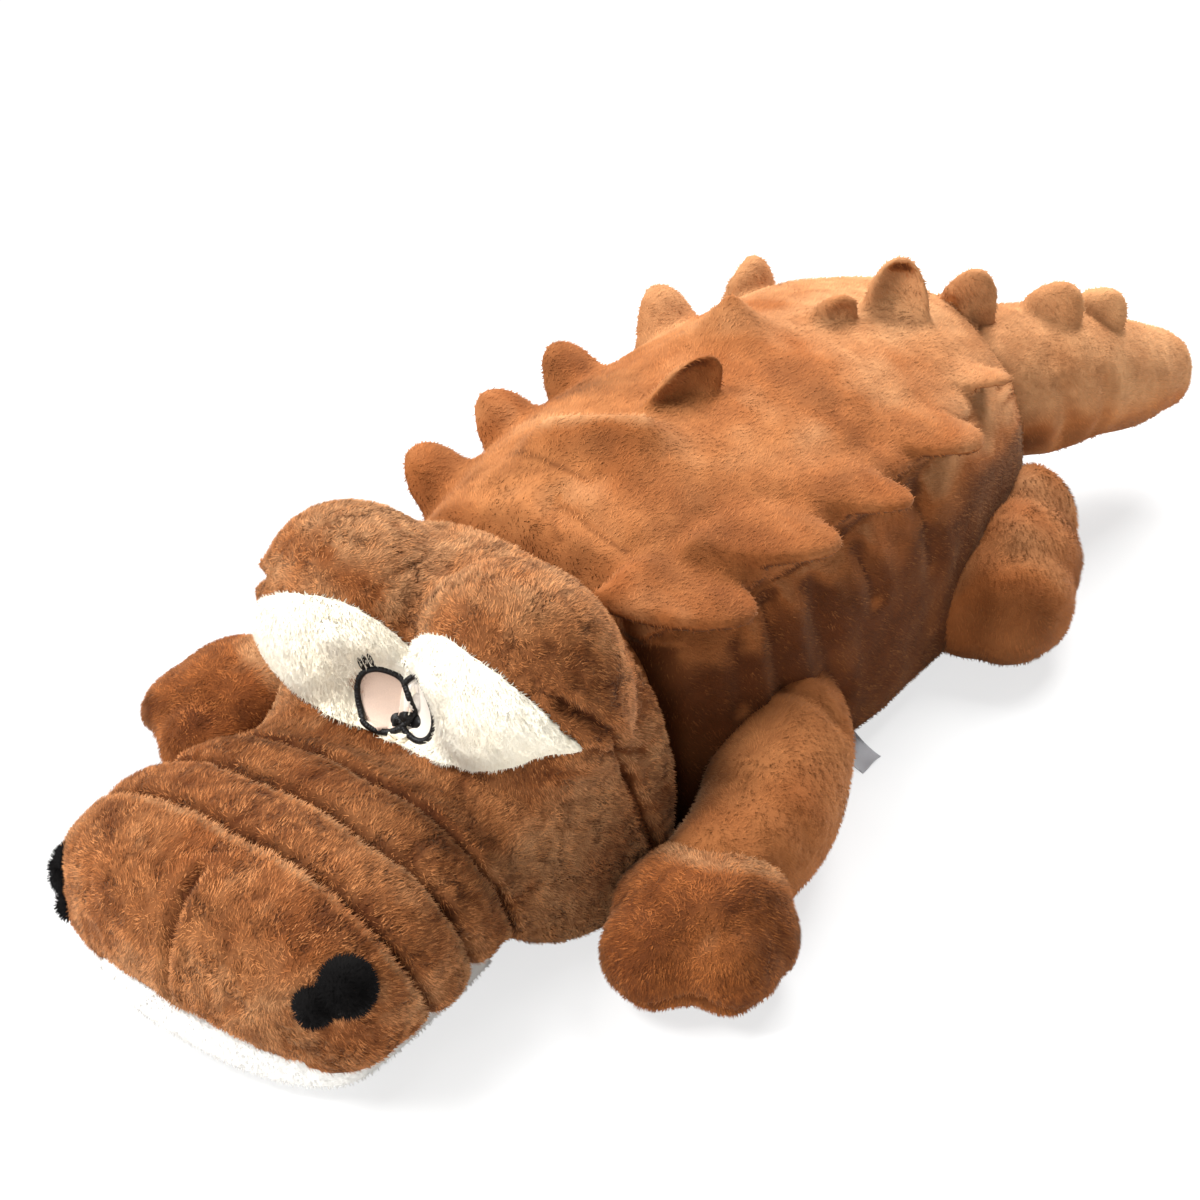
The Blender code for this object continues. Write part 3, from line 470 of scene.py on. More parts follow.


# The pale tone is painted light and the deep tone painted shade, both also used for random tone; dark, crack, rootDark
# and underDark paint shade deep in the pile, and crack also tints random dark strands
brownLook = {
    "patchScale": 9.0, "clumpScale": 70.0, "crackScale": 130.0, "crackDepth": 0.12, "mid": tint(172, 101, 53),
    "light": tint(196, 128, 76), "pale": tint(232, 174, 122), "dark": tint(118, 62, 28), "deepAndShaded": tint(70, 35, 15),
    "crack": tint(60, 28, 12), "clumpDepth": 0.35, "bump": 0.5, "sheen": 0.12, "sheenTint": tint(255, 214, 170),
    "rootDark": 0.4, "toneSpread": 0.55, "underDark": 0.30,
}
looks = {
    "back": {"toneSpread": 0.32},
    "head": {
        "mid": tint(176, 106, 58), "light": tint(204, 136, 84), "clumpDepth": 0.55,
        "toneSpread": 0.95, "crackDepth": 0.70,
        "rootDark": 0.6, "underDark": 0.60, "clumpScale": 110.0, "bump": 0.8},
    "paw": {
        "mid": tint(156, 88, 42), "light": tint(184, 112, 60), "clumpDepth": 0.50,
        "toneSpread": 0.9, "crackDepth": 0.45,
        "rootDark": 0.6, "underDark": 0.55, "clumpScale": 110.0, "bump": 0.7},
    "cream": {
        "mid": tint(254, 244, 221), "light": tint(255, 251, 238), "pale": tint(255, 252, 244),
        "dark": tint(238, 224, 194),
        "deepAndShaded": tint(232, 216, 182), "crack": tint(222, 203, 168), "clumpScale": 110.0,
        "sheenTint": tint(255, 250, 240), "underDark": 0.1,
        "rootDark": 0.2, "toneSpread": 0.25, "crackDepth": 0.2},
    "white": {
        "mid": tint(238, 236, 232), "light": tint(247, 246, 242), "pale": tint(250, 250, 248),
        "dark": tint(216, 211, 204),
        "deepAndShaded": tint(206, 200, 192), "crack": tint(196, 190, 180), "clumpScale": 110.0,
        "sheenTint": tint(255, 255, 255), "underDark": 0.1,
        "rootDark": 0.3, "toneSpread": 0.2},
    "black": {
        "mid": tint(12, 10, 10), "light": tint(22, 20, 19), "pale": tint(26, 24, 24),
        "dark": tint(6, 5, 5), "deepAndShaded": tint(4, 4, 4),
        "crack": tint(3, 3, 3), "clumpScale": 120.0, "sheen": 0.02, "sheenTint": tint(120, 120, 130)},
}
cloths, piles = {}, {}
for name, changes in looks.items():
    look = {**brownLook, **changes}
    cloths[name] = plush(name + "Cloth", look)
    piles[name] = plush(name + "Pile", look, strands=True)


def threadMaterial(name, colour, rough):
    material, tree, shader = newMaterial(name)
    place = addNode(tree, "ShaderNodeTexCoord", output=3)
    grain = addNode(tree, "ShaderNodeTexNoise", {}, {"Vector": place, "Scale": 1400.0, "Detail": 1.0})
    shade = mixColours(tree, grain * 0.4, colour, tuple(c * 0.5 for c in colour[:3]) + (1.0,))
    tree.links.new(shade.socket, shader.inputs["Base Color"])
    bump = addNode(tree, "ShaderNodeBump", {}, {"Strength": 0.4, "Distance": 0.0006, "Height": grain})
    tree.links.new(bump.socket, shader.inputs["Normal"])
    setSockets(shader, Roughness=rough, Specular_IOR_Level=0.3)
    return material


blackThread = threadMaterial("blackThread", tint(16, 13, 12), 0.45)
beigeThread = threadMaterial("beigeThread", tint(232, 205, 186), 0.55)
paleThread = threadMaterial("paleThread", tint(236, 226, 214), 0.55)
satin = threadMaterial("satin", tint(196, 198, 204), 0.35)
print("materials ready")


# ---- pile: each strand is one thin closed spike of four faces

def partLines(co, seed):
    # Short flecks where the pile parts and its foot shows, darkened there with painted shade
    lines = bell(softNoise(co * (1.0, 0.55, 1.0), 0.0075, seed + 3), 0.16)
    return lines * smoothStep(-0.15, 0.25, softNoise(co, 0.024, seed + 4))


def growPile(cloth, kind, perArea, length, width, lean, nap, seed, keep=None, partings=0.0, bare=None,
             shade=None, label=""):
    mesh = cloth.data
    mesh.calc_loop_triangles()
    corners = np.empty(len(mesh.loop_triangles) * 3, dtype=int)
    mesh.loop_triangles.foreach_get("vertices", corners)
    corners = corners.reshape(-1, 3)
    co, out = pointsAndNormals(cloth)
    a, b, c = co[corners[:, 0]], co[corners[:, 1]], co[corners[:, 2]]
    area = np.linalg.norm(np.cross(b - a, c - a), axis=1) / 2
    middle = (a + b + c) / 3
    weight = area * (keep(middle, out[corners[:, 0]]) if keep else 1.0)
    if partings:
        weight = weight * (1 - partings * partLines(middle, seed))
    if bare is not None:
        weight = weight * (1 - 0.95 * bare[corners].mean(1))
    count = int(perArea * weight.sum())
    rng = np.random.default_rng(seed)
    pick = np.minimum(np.searchsorted(np.cumsum(weight), rng.uniform(0, weight.sum(), count)), len(weight) - 1)
    u, v = rng.uniform(0, 1, count), rng.uniform(0, 1, count)
    over = u + v > 1
    u, v = np.where(over, 1 - u, u), np.where(over, 1 - v, v)
    w = 1 - u - v
    foot = w[:, None] * a[pick] + u[:, None] * b[pick] + v[:, None] * c[pick]
    up = unit(sum(s[:, None] * out[corners[pick, i]] for i, s in enumerate((w, u, v))))
    flow = np.asarray(nap(foot, up), float)
    for axis in range(3):
        small, big = softNoise(foot, 0.014, seed + 10 + axis), softNoise(foot, 0.045, seed + 20 + axis)
        flow[:, axis] += 0.55 * small + 0.35 * big
    flow += rng.normal(0, 0.22, flow.shape)
    flow = unit(flow - up * (flow * up).sum(1)[:, None])
    way = unit(up * (1 - lean) + flow * lean)
    across = unit(np.cross(up, way))
    long_ = length * rng.uniform(0.7, 1.2, count)
    thick = width * rng.uniform(0.7, 1.3, count)
    bent = unit(np.cross(across, way))
    base = foot - up * 0.0006
    points = np.empty((count, 4, 3))
    points[:, 0] = base + across * thick[:, None] / 2
    points[:, 1] = base - across * thick[:, None] / 2
    points[:, 2] = base + bent * thick[:, None] * 0.5
    points[:, 3] = foot + way * long_[:, None]
    points[:, :, 2] = np.maximum(points[:, :, 2], np.minimum(foot[:, None, 2], 0.0))  # no tip below the floor
    first = np.arange(count)[:, None, None] * 4
    faces = first + np.array([[0, 1, 2], [0, 3, 1], [1, 3, 2], [2, 3, 0]])
    base = np.cross(points[:, 1] - points[:, 0], points[:, 2] - points[:, 0])
    inside = np.einsum("ij,ij->i", base, points[:, 3] - points[:, 0]) > 0
    faces[inside] = faces[inside][:, :, ::-1]
    made = bpy.data.meshes.new(cloth.name + "Pile" + label)
    made.from_pydata(points.reshape(-1, 3), [], faces.reshape(-1, 3))
    pile = bpy.data.objects.new(cloth.name + "Pile" + label, made)
    bpy.context.collection.objects.link(pile)
    writeValues(made, "strandTip", np.tile([0.0, 0.0, 0.0, 1.0], count))
    if shade is not None:
        writeValues(made, "nap", np.repeat(shade[corners[pick]].mean(1), 4))
    tones = 0.5 + 0.35 * softNoise(foot, 0.006, seed + 5) + rng.normal(0, 0.15, count)
    writeValues(made, "strandTone", np.repeat(np.clip(tones, 0, 1), 4))
    # One small cell of the texture for each strand
    side = int(math.ceil(math.sqrt(count)))
    cell = np.stack([np.arange(count) % side, np.arange(count) // side], 1) / side
    corner = np.array([[0.15, 0.2], [0.5, 0.12], [0.85, 0.2], [0.5, 0.9]]) / side
    uv = (cell[:, None, :] + corner[None]).reshape(-1, 2)[faces.reshape(-1)]
    made.uv_layers.new(name="OFBake").data.foreach_set("uv", uv.ravel())
    made.shade_smooth()
    soft = np.repeat(up[:, None, :], 4, axis=1)
    soft[:, 3] = up * 0.75 + way * 0.25
    soft += 0.18 * np.array([1, -1, 0, 0])[None, :, None] * across[:, None, :]
    made.normals_split_custom_set_from_vertices(unit(soft).reshape(-1, 3))
    made.materials.append(piles[kind])
    print("pile", pile.name, count)
    return pile


def napBack(foot, up):
    # Lies towards the tail and a little down the sides
    return np.stack([0 * foot[:, 0], np.ones(len(foot)), -0.35 - 0.5 * (1 - np.abs(up[:, 2]))], 1)


def napDown(foot, up):
    return np.stack([0.3 * up[:, 0], np.full(len(foot), 0.35), np.full(len(foot), -1.0)], 1)


def offFloor(middle, out):
    return np.where(out[:, 2] < -0.75, 0.0, 1.0)


def leftHalf(middle, out):
    return offFloor(middle, out) * (middle[:, 0] >= 0)


def rightHalf(middle, out):
    return offFloor(middle, out) * (middle[:, 0] < 0)


def dress(cloth, kind, nodes, ride=None, pile=None, halves=False, bare=None, shade=None):
    # Material, bodies and pile of a cloth. shade: random tone with painted light and shade, -1 dark to 1 pale, kept as
    # the 'nap' attribute
    cloth.data.materials.append(cloths[kind])
    made = [cloth]
    extra = {"bare": bare, "shade": shade}
    if shade is not None:
        # Painted shade in the bare creases and seams, which are made darker still
        deepAndShaded = shade - (1.0 * bare if bare is not None else 0.0)
        writeValues(cloth.data, "nap", np.clip(deepAndShaded, -1, 1))
    if pile and halves:
        made.append(growPile(cloth, kind, **pile, **extra, keep=leftHalf, label="Left"))
        made.append(growPile(cloth, kind, **pile, **extra, keep=rightHalf, label="Right"))
    elif pile:
        made.append(growPile(cloth, kind, **{"keep": offFloor, **pile, **extra}))
    for thing in made:
        if ride:
            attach(thing, ride)
        else:
            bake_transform(thing)
    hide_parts(*nodes)


# ---- body

bodyRows = [
    # y, half width, top, bottom, belt
    (-0.180, 0.124, 0.214, 0.008, 0.100),
    (-0.150, 0.134, 0.223, 0.001, 0.100),
    (-0.115, 0.145, 0.232, 0.000, 0.100),
    (-0.060, 0.152, 0.241, 0.000, 0.100),
    (0.000, 0.156, 0.2465, 0.000, 0.100),
    (0.060, 0.158, 0.249, 0.000, 0.100),
    (0.130, 0.157, 0.249, 0.000, 0.100),
    (0.200, 0.151, 0.247, 0.000, 0.100),
    (0.250, 0.143, 0.243, 0.000, 0.100),
    (0.290, 0.130, 0.235, 0.006, 0.102),
    (0.315, 0.115, 0.225, 0.018, 0.106),
    (0.336, 0.095, 0.210, 0.040, 0.112),
]
seamShare = 0.775  # height of the seam between back and flank, of the body's height


def farSide(points):
    return np.asarray(points, float) * (-1, 1, 1)


def bodyAt(y):
    return [float(smoothLine([r[0] for r in bodyRows], [r[i] for r in bodyRows], y)) for i in (1, 2)]


def onSide(y, share=seamShare):
    # Point of the left side at a share of the body's height
    wide, top = bodyAt(y)
    rise = ((top * share - 0.100) / (top - 0.100)) ** (1 / 0.85)
    return np.array([wide * (1 - rise ** 2) ** (0.85 / 2), y, top * share])


bodyParts = [longForm("bodyForm", bodyRows, (0.024, 0.030), (0.85, 0.26), 150, 200)]
# Near side row: root, tip, half length, thickness, hollow. The back's cloth runs out over the flank in pointed folds
nearEars = [
    ((0.098, -0.150, 0.198), (0.152, -0.122, 0.180), 0.046, 0.011, 0.010),
    ((0.112, -0.070, 0.208), (0.161, -0.034, 0.196), 0.044, 0.011, 0.012),
    ((0.116, 0.016, 0.210), (0.170, 0.052, 0.196), 0.037, 0.011, 0.012),
    ((0.110, 0.120, 0.210), (0.163, 0.156, 0.196), 0.041, 0.011, 0.012),
    ((0.096, 0.226, 0.207), (0.139, 0.246, 0.208), 0.027, 0.011, 0.008),
]
# Far side row: y of the root, tip, half length, thickness, hollow; these stand up more
farEars = [
    (-0.112, (-0.150, -0.118, 0.213), 0.035, 0.022, 0.010),
    (-0.030, (-0.155, -0.034, 0.222), 0.033, 0.022, 0.012),
    (0.054, (-0.160, 0.052, 0.227), 0.034, 0.022, 0.012),
    (0.165, (-0.150, 0.168, 0.237), 0.038, 0.024, 0.012),
    (0.258, (-0.120, 0.262, 0.238), 0.036, 0.022, 0.010),
]
for root, tip, halfLength, thick, hollow in nearEars:
    bodyParts.append(earForm(root, tip, (0, 1, 0), halfLength, thick, hollow,
                             inset=0.03, lip=0.010, blunt=2.3, edge=0.55))
# Between the folds the back is held out by its filling
shelf = [(0.092, -0.158, 0.178), (0.108, -0.100, 0.187), (0.116, -0.020, 0.192),
         (0.116, 0.090, 0.192), (0.108, 0.190, 0.190),
         (0.090, 0.270, 0.182)]
bodyParts.append(tubeForm("shelf", shelf, [0.018, 0.021, 0.023, 0.023, 0.021, 0.018], 60, 48))
for y, tip, halfLength, thick, hollow in farEars:
    bodyParts.append(earForm(farSide(onSide(y)), tip, (0, 1, 0), halfLength, thick, hollow))
# Middle row: root, tip, direction of its long side, half length, thickness, hollow, bluntness, way the hollow faces
middleEars = [
    ((0.002, -0.006, 0.238), (0.012, 0.017, 0.281), (0.46, 0.89, 0), 0.037, 0.016, 0.010, 2.2, (1, -0.4, 0)),
    ((0.014, 0.178, 0.244), (0.024, 0.182, 0.270), (0.70, 0.71, 0), 0.030, 0.012, 0.003, 1.4, (1, -1, 0)),
    ((0.042, 0.232, 0.236), (0.038, 0.239, 0.287), (0.80, 0.60, 0), 0.032, 0.020, 0.012, 2.0, (1, -1, 0)),
    ((0.056, 0.318, 0.214), (0.061, 0.320, 0.254), (0.80, 0.60, 0), 0.031, 0.016, 0.000, 1.6, (1, -1, 0)),
]
for root, tip, along, halfLength, thick, hollow, blunt, faces in middleEars:
    bodyParts.append(earForm(root, tip, along, halfLength, thick, hollow, blunt=blunt, faces=faces))
# Two of the middle row are tents drawn up from the back itself: ends of the crest, height, reach, sharpness
backTents = [
    ((-0.042, -0.092), (0.016, -0.064), 0.026, 0.024, 1.4),
    ((-0.031, 0.106), (-0.027, 0.109), 0.038, 0.026, 1.25),
]
bodyCloth = melt("bodyCloth", bodyParts, 0.0029, 4)
co = readPoints(bodyCloth)
for start, end, height, reach, sharp in backTents:
    away = distanceTo(co * (1, 1, 0), [(*start, 0), (*end, 0)])
    co[:, 2] += height * np.exp(-(away / reach) ** sharp) * smoothStep(0.19, 0.215, co[:, 2])
writePoints(bodyCloth, co)
# The back runs smoothly up and out into each tab
co = readPoints(bodyCloth)
merge = np.zeros(len(co))
for root, tip, *_ in nearEars:
    root, tip = np.array(root), np.array(tip)
    share = np.clip((co - root) @ (tip - root) / ((tip - root) @ (tip - root)), 0, 1)
    height = co[:, 2] - (root + share[:, None] * (tip - root))[:, 2]
    away = np.linalg.norm(co - root - share[:, None] * (tip - root), axis=1)
    merge = np.maximum(merge, smoothStep(0.002, 0.009, height) * bell(away, 0.050) * smoothStep(0.8, 0.4, share))
for y, tip, *_ in farEars:
    root = farSide(onSide(y))
    above = smoothStep(0.004, 0.016, co[:, 2] - root[2] - 0.25 * np.maximum(0, np.abs(co[:, 0]) - abs(root[0])))
    merge = np.maximum(merge, above * bell(np.linalg.norm(co - root - (0, 0, 0.012), axis=1), 0.040))
for root, tip, *_ in middleEars:
    low = smoothStep(0.022, 0.004, co[:, 2] - root[2])
    merge = np.maximum(merge, low * bell(np.linalg.norm(co[:, :2] - root[:2], axis=1), 0.050))
soften(bodyCloth, np.clip(merge, 0, 1), 26)
puffUp(bodyCloth, 0.0026, 0.0010, 11)
flankSeam = [onSide(y) for y in np.linspace(-0.170, 0.325, 24)]
seamWidth = 0.0035
bodyLines = [
    (flankSeam, 0.0030, seamWidth),
    (farSide(flankSeam), 0.0030, seamWidth),
    ([(-0.004, -0.135, 0.236), (0.012, -0.160, 0.234), (0.022, -0.180, 0.228)], 0.0030, 0.009),
    ([(0.000, -0.140, 0.236), (0.040, -0.150, 0.234), (0.070, -0.150, 0.228)], 0.0025, 0.010),
    ([(-0.075, -0.105, 0.232), (-0.040, -0.112, 0.236), (0.010, -0.115, 0.238)], 0.0025, 0.011),
    ([(0.152, -0.085, 0.175), (0.160, -0.080, 0.120), (0.158, -0.065, 0.070)], 0.0050, 0.010),
    ([(0.154, -0.040, 0.170), (0.163, -0.030, 0.120), (0.160, -0.010, 0.060)], 0.0045, 0.011),
    ([(0.152, -0.120, 0.160), (0.152, -0.118, 0.110)], 0.0040, 0.009),
    ([(0.158, 0.020, 0.170), (0.163, 0.030, 0.130)], 0.0035, 0.009),
    ([(0.158, 0.105, 0.175), (0.160, 0.110, 0.120)], 0.0035, 0.012),
]
endSeam = [(0.0, 0.305, 0.235), (0.070, 0.305, 0.222), (0.112, 0.305, 0.185),
           (0.125, 0.305, 0.120), (0.118, 0.305, 0.050)]
bodyLines += [(endSeam, 0.0025, seamWidth), (farSide(endSeam), 0.0025, seamWidth)]
co = readPoints(bodyCloth)
nearTab = np.zeros(len(co))
for root, tip, *_ in nearEars:
    nearTab = np.maximum(nearTab, bell(distanceTo(co, [np.array(root) * 0.35 + np.array(tip) * 0.65, tip]), 0.034))
for y, tip, *_ in farEars:
    nearTab = np.maximum(nearTab, bell(distanceTo(co, [farSide(onSide(y)), tip]), 0.042))
bodyBare = grooves(bodyCloth, bodyLines, 1 - smoothStep(0.15, 0.55, nearTab))
co, out = pointsAndNormals(bodyCloth)
seamHeight = seamShare * smoothLine([r[0] for r in bodyRows], [r[2] for r in bodyRows], np.clip(co[:, 1], -0.18, 0.336))
# Painted shade on the flank below the seam and on faces turned downwards
below = smoothStep(0.001, -0.007, co[:, 2] - seamHeight) * smoothStep(0.45, 0.15, out[:, 2])
below = np.maximum(below, smoothStep(-0.1, -0.5, out[:, 2]))
bodyShade = 0.45 * softNoise(co, 0.045, 14) + 0.25 * softNoise(co, 0.018, 15) - 0.12
# Painted light towards the rear, over random tone
bodyShade += 0.85 * smoothStep(0.05, 0.27, co[:, 1])
bodyShade *= 1 - below
bodyShade += below * (-1.00 + 0.30 * softNoise(co, 0.03, 16))
# Painted highlight along the crest of the front tent
for start, end, *_ in backTents[:1]:
    crest = distanceTo(co * (1, 1, 0), [(*start, 0), (*end, 0)])
    bodyShade += 0.9 * bell(crest, 0.007) * smoothStep(0.235, 0.250, co[:, 2])
dress(
    bodyCloth, "back",
    ["back_panel", "flank_panel_left", "flank_panel_right", "belly_panel", "torso_filling", "scute_rump"]
    + ["scute_" + row + "_" + str(i) for row in ("left", "right", "mid") for i in range(1, 6)],
    ride="body", halves=True, bare=bodyBare * 0.6, shade=bodyShade,
    pile={"perArea": 170000, "length": 0.0040, "width": 0.0011, "lean": 0.66, "nap": napBack,
          "seed": 31, "partings": 0.25})
print("body", len(bodyCloth.data.polygons))


# ---- head

headBack, headLength = -0.181, 0.349
headShares = [
    # share of the length, half width, top, bottom, belt
    (0.000, 0.145, 0.224, 0.002, 0.064),
    (0.040, 0.152, 0.230, 0.000, 0.060),
    (0.085, 0.155, 0.231, 0.000, 0.056),
    (0.157, 0.154, 0.224, 0.000, 0.052),
    (0.230, 0.149, 0.203, 0.000, 0.050),
    (0.303, 0.141, 0.166, 0.000, 0.050),
    (0.362, 0.132, 0.139, 0.006, 0.052),
    (0.420, 0.125, 0.130, 0.020, 0.058),
    (0.480, 0.124, 0.130, 0.031, 0.064),
    (0.560, 0.128, 0.133, 0.031, 0.066),
    (0.650, 0.134, 0.134, 0.029, 0.066),
    (0.740, 0.137, 0.134, 0.024, 0.066),
    (0.820, 0.138, 0.133, 0.020, 0.065),
    (0.890, 0.138, 0.132, 0.016, 0.065),
    (1.000, 0.136, 0.130, 0.011, 0.065),
]
headRows = [(headBack - headLength * s, w, t, b, m) for s, w, t, b, m in headShares]
headParts = [longForm("headForm", headRows, (0.070, 0.018), (0.80, 0.36), 150, 180)]
headParts.append(blob("brow", (0.068, -0.259, 0.168), (0.085, 0.063, 0.092)))
headParts.append(blob("brow", (-0.069, -0.258, 0.164), (0.090, 0.063, 0.089)))
headParts.append(blob("nape", (0.0, -0.224, 0.160), (0.105, 0.044, 0.073)))
headParts.append(blob("nosebridge", (0.0, -0.277, 0.145), (0.034, 0.030, 0.050)))
headCloth = melt("headCloth", headParts, 0.0022, 6)
co = readPoints(headCloth)
soften(headCloth, smoothStep(-0.285, -0.240, co[:, 1]) * smoothStep(0.10, 0.15, co[:, 2]), 50)
bridge = smoothStep(-0.330, -0.305, co[:, 1]) * smoothStep(0.15, 0.12, co[:, 2]) * smoothStep(0.07, 0.10, co[:, 2])
soften(headCloth, bridge, 20)
# The valley between the brows, where the eyes are sewn, and the snout's fuller far side
co = readPoints(headCloth)
valley = 0.015 * bell(co[:, 0], 0.031) * smoothStep(0.192, 0.158, co[:, 2]) * smoothStep(-0.352, -0.328, co[:, 1])
valley *= smoothStep(-0.255, -0.275, co[:, 1]) * smoothStep(0.085, 0.105, co[:, 2])
co += valley[:, None] * np.array([0.0, 0.848, -0.530])
fuller = 0.010 * smoothStep(-0.40, -0.48, co[:, 1]) * smoothStep(0, -0.09, co[:, 0])
co[:, 0] -= fuller * smoothStep(0.115, 0.065, co[:, 2])
writePoints(headCloth, co)
soften(headCloth, smoothStep(0.001, 0.006, valley), 12)
puffUp(headCloth, 0.0020, 0.0010, 21)
co, out = pointsAndNormals(headCloth)
writePoints(headCloth, co + out * (0.0007 * softNoise(co, 0.009, 24))[:, None])
# Three tucks across the snout, puffed between; y on top, how far they run back down the sides
co, out = pointsAndNormals(headCloth)
drop = smoothStep(0.115, 0.030, co[:, 2])
strong = smoothStep(0.020, 0.034, co[:, 2])
tucks = [y + back * drop + 0.0020 * softNoise(co * (1, 0.01, 0.3), 0.035, 40 + i)
         for i, (y, back) in enumerate(((-0.452, 0.024), (-0.403, 0.022), (-0.357, 0.020)))]
puff = 0.0065 * np.exp(-np.maximum(tucks[0] - co[:, 1], 0) / 0.022) * (co[:, 1] < tucks[0])
for front, rear in zip(tucks[:-1], tucks[1:]):
    share = np.clip((co[:, 1] - front) / (rear - front), 0, 1)
    puff = np.maximum(puff, 0.0085 * np.sin(math.pi * share) ** 0.55 * (share > 0) * (share < 1))
puff = np.maximum(puff, 0.0060 * np.exp(-np.maximum(co[:, 1] - tucks[2], 0) / 0.020) * (co[:, 1] > tucks[2]))
headBare = np.zeros(len(co))
tuckHighlight = np.zeros(len(co))
move = strong * (puff - 0.005)
for tuck in tucks:
    away = co[:, 1] - tuck
    move -= strong * 0.0095 * bell(away - 0.0010, 0.0030)
    # Each tuck's crease is bare of pile and gets painted shade; the puffed crest in front of it gets a painted
    # highlight
    headBare = np.maximum(headBare, strong * bell(away - 0.0008, 0.0038))
    tuckHighlight = np.maximum(tuckHighlight, strong * bell(away + 0.0062, 0.0032))
writePoints(headCloth, co + out * move[:, None])
headLines = [
    ([(0.0, -0.490, 0.130), (0.001, -0.512, 0.112), (0.003, -0.528, 0.080), (0.002, -0.526, 0.045)], 0.0045, 0.0040),
    ([(0.110, -0.340, 0.080), (0.112, -0.330, 0.055), (0.106, -0.322, 0.035)], 0.0035, 0.006),
    ([(-0.110, -0.340, 0.080), (-0.112, -0.330, 0.055)], 0.0035, 0.006),
]
headFolds = [
    ([(0.126, -0.292, 0.196), (0.137, -0.264, 0.166), (0.146, -0.242, 0.115), (0.152, -0.222, 0.051)], 0.0060, 0.0045),
    ([(0.134, -0.278, 0.160), (0.146, -0.250, 0.140), (0.152, -0.225, 0.130)], 0.0025, 0.0045),
]
for side in (1.0, -1.0):
    for points, depth, width in headFolds:
        headLines.append((np.multiply(points, (side, 1, 1)), depth, width))
headBare = np.maximum(headBare, grooves(headCloth, headLines))
co, out = pointsAndNormals(headCloth)
parted = partLines(co, 71)
writePoints(headCloth, co - out * (0.0013 * parted)[:, None])

# Cream patches: the part of the head's own surface inside an outline, seen from in front and above
seenAlong = unit((0.0, 0.848, -0.530))
seenUp = np.array([0.0, -seenAlong[2], seenAlong[1]])
patchOutlines = {
    # across, height in that view
    "left": [
        (0.000, 0.003), (0.012, 0.012), (0.026, 0.0185), (0.048, 0.0225), (0.074, 0.0185), (0.095, 0.0132),
        (0.108, 0.0085),
        (0.121, 0.0025), (0.130, -0.005), (0.140, -0.013), (0.124, -0.024), (0.102, -0.040), (0.074, -0.053),
        (0.042, -0.060), (0.014, -0.063), (0.000, -0.063)],
    "right": [
        (0.000, 0.003), (0.012, 0.010), (0.026, 0.0145), (0.048, 0.0165), (0.074, 0.0120), (0.095, 0.0060),
        (0.110, 0.0000),
        (0.124, -0.007), (0.136, -0.016), (0.144, -0.028), (0.134, -0.040), (0.108, -0.052), (0.076, -0.060),
        (0.042, -0.063), (0.014, -0.064), (0.000, -0.064)],
}


def insideOutline(points, outline):
    inside = np.zeros(len(points), bool)
    for (x0, z0), (x1, z1) in zip(outline, np.roll(outline, -1, axis=0)):
        if z0 != z1:
            crosses = (z0 > points[:, 1]) != (z1 > points[:, 1])
            inside ^= crosses & (points[:, 0] < (x1 - x0) * (points[:, 1] - z0) / (z1 - z0) + x0)
    return inside


def depthOf(tree, x, h, fallback=0.0):
    start = np.array([x, 0, 0]) + seenUp * h - seenAlong
    hit = tree.ray_cast(Vector(start), Vector(seenAlong), 2.0)[0]
    return float((np.array(hit) - start) @ seenAlong) - 1.0 if hit else fallback


def placed(x, h, depth):
    return np.column_stack([x, 0 * x, 0 * x]) + np.outer(h, seenUp) + np.outer(depth, seenAlong)


def facingFront(middle, out):
    return np.where(out @ seenAlong < -0.15, 1.0, 0.0)


# Where the eyes are in that view: across, height
eyes = {
    "right": {
        "centre": (-0.0150, -0.0385), "halves": (0.0195, 0.0205), "width": 0.0046, "pupil": (-0.0068, -0.0480),
        "spot": (0.0052, 0.0048), "fill": beigeThread},
    "left": {
        "centre": (0.0135, -0.0335), "halves": (0.0190, 0.0212), "width": 0.0044, "pupil": (0.0050, -0.0440),
        "spot": (0.0084, 0.0050), "fill": paleThread},
}


def eyeWeight(co):
    # 1 on the eyes and 0 a little outside them
    out = np.zeros(len(co))
    for eye in eyes.values():
        (x, h), (a, b) = eye["centre"], eye["halves"]
        away = np.hypot((co[:, 0] - x) / (a + 0.003), (co @ seenUp - h) / (b + 0.003))
        out = np.maximum(out, smoothStep(1.15, 0.95, away))
    return out


def besideEyes(middle, out):
    return facingFront(middle, out) * (1 - eyeWeight(middle))


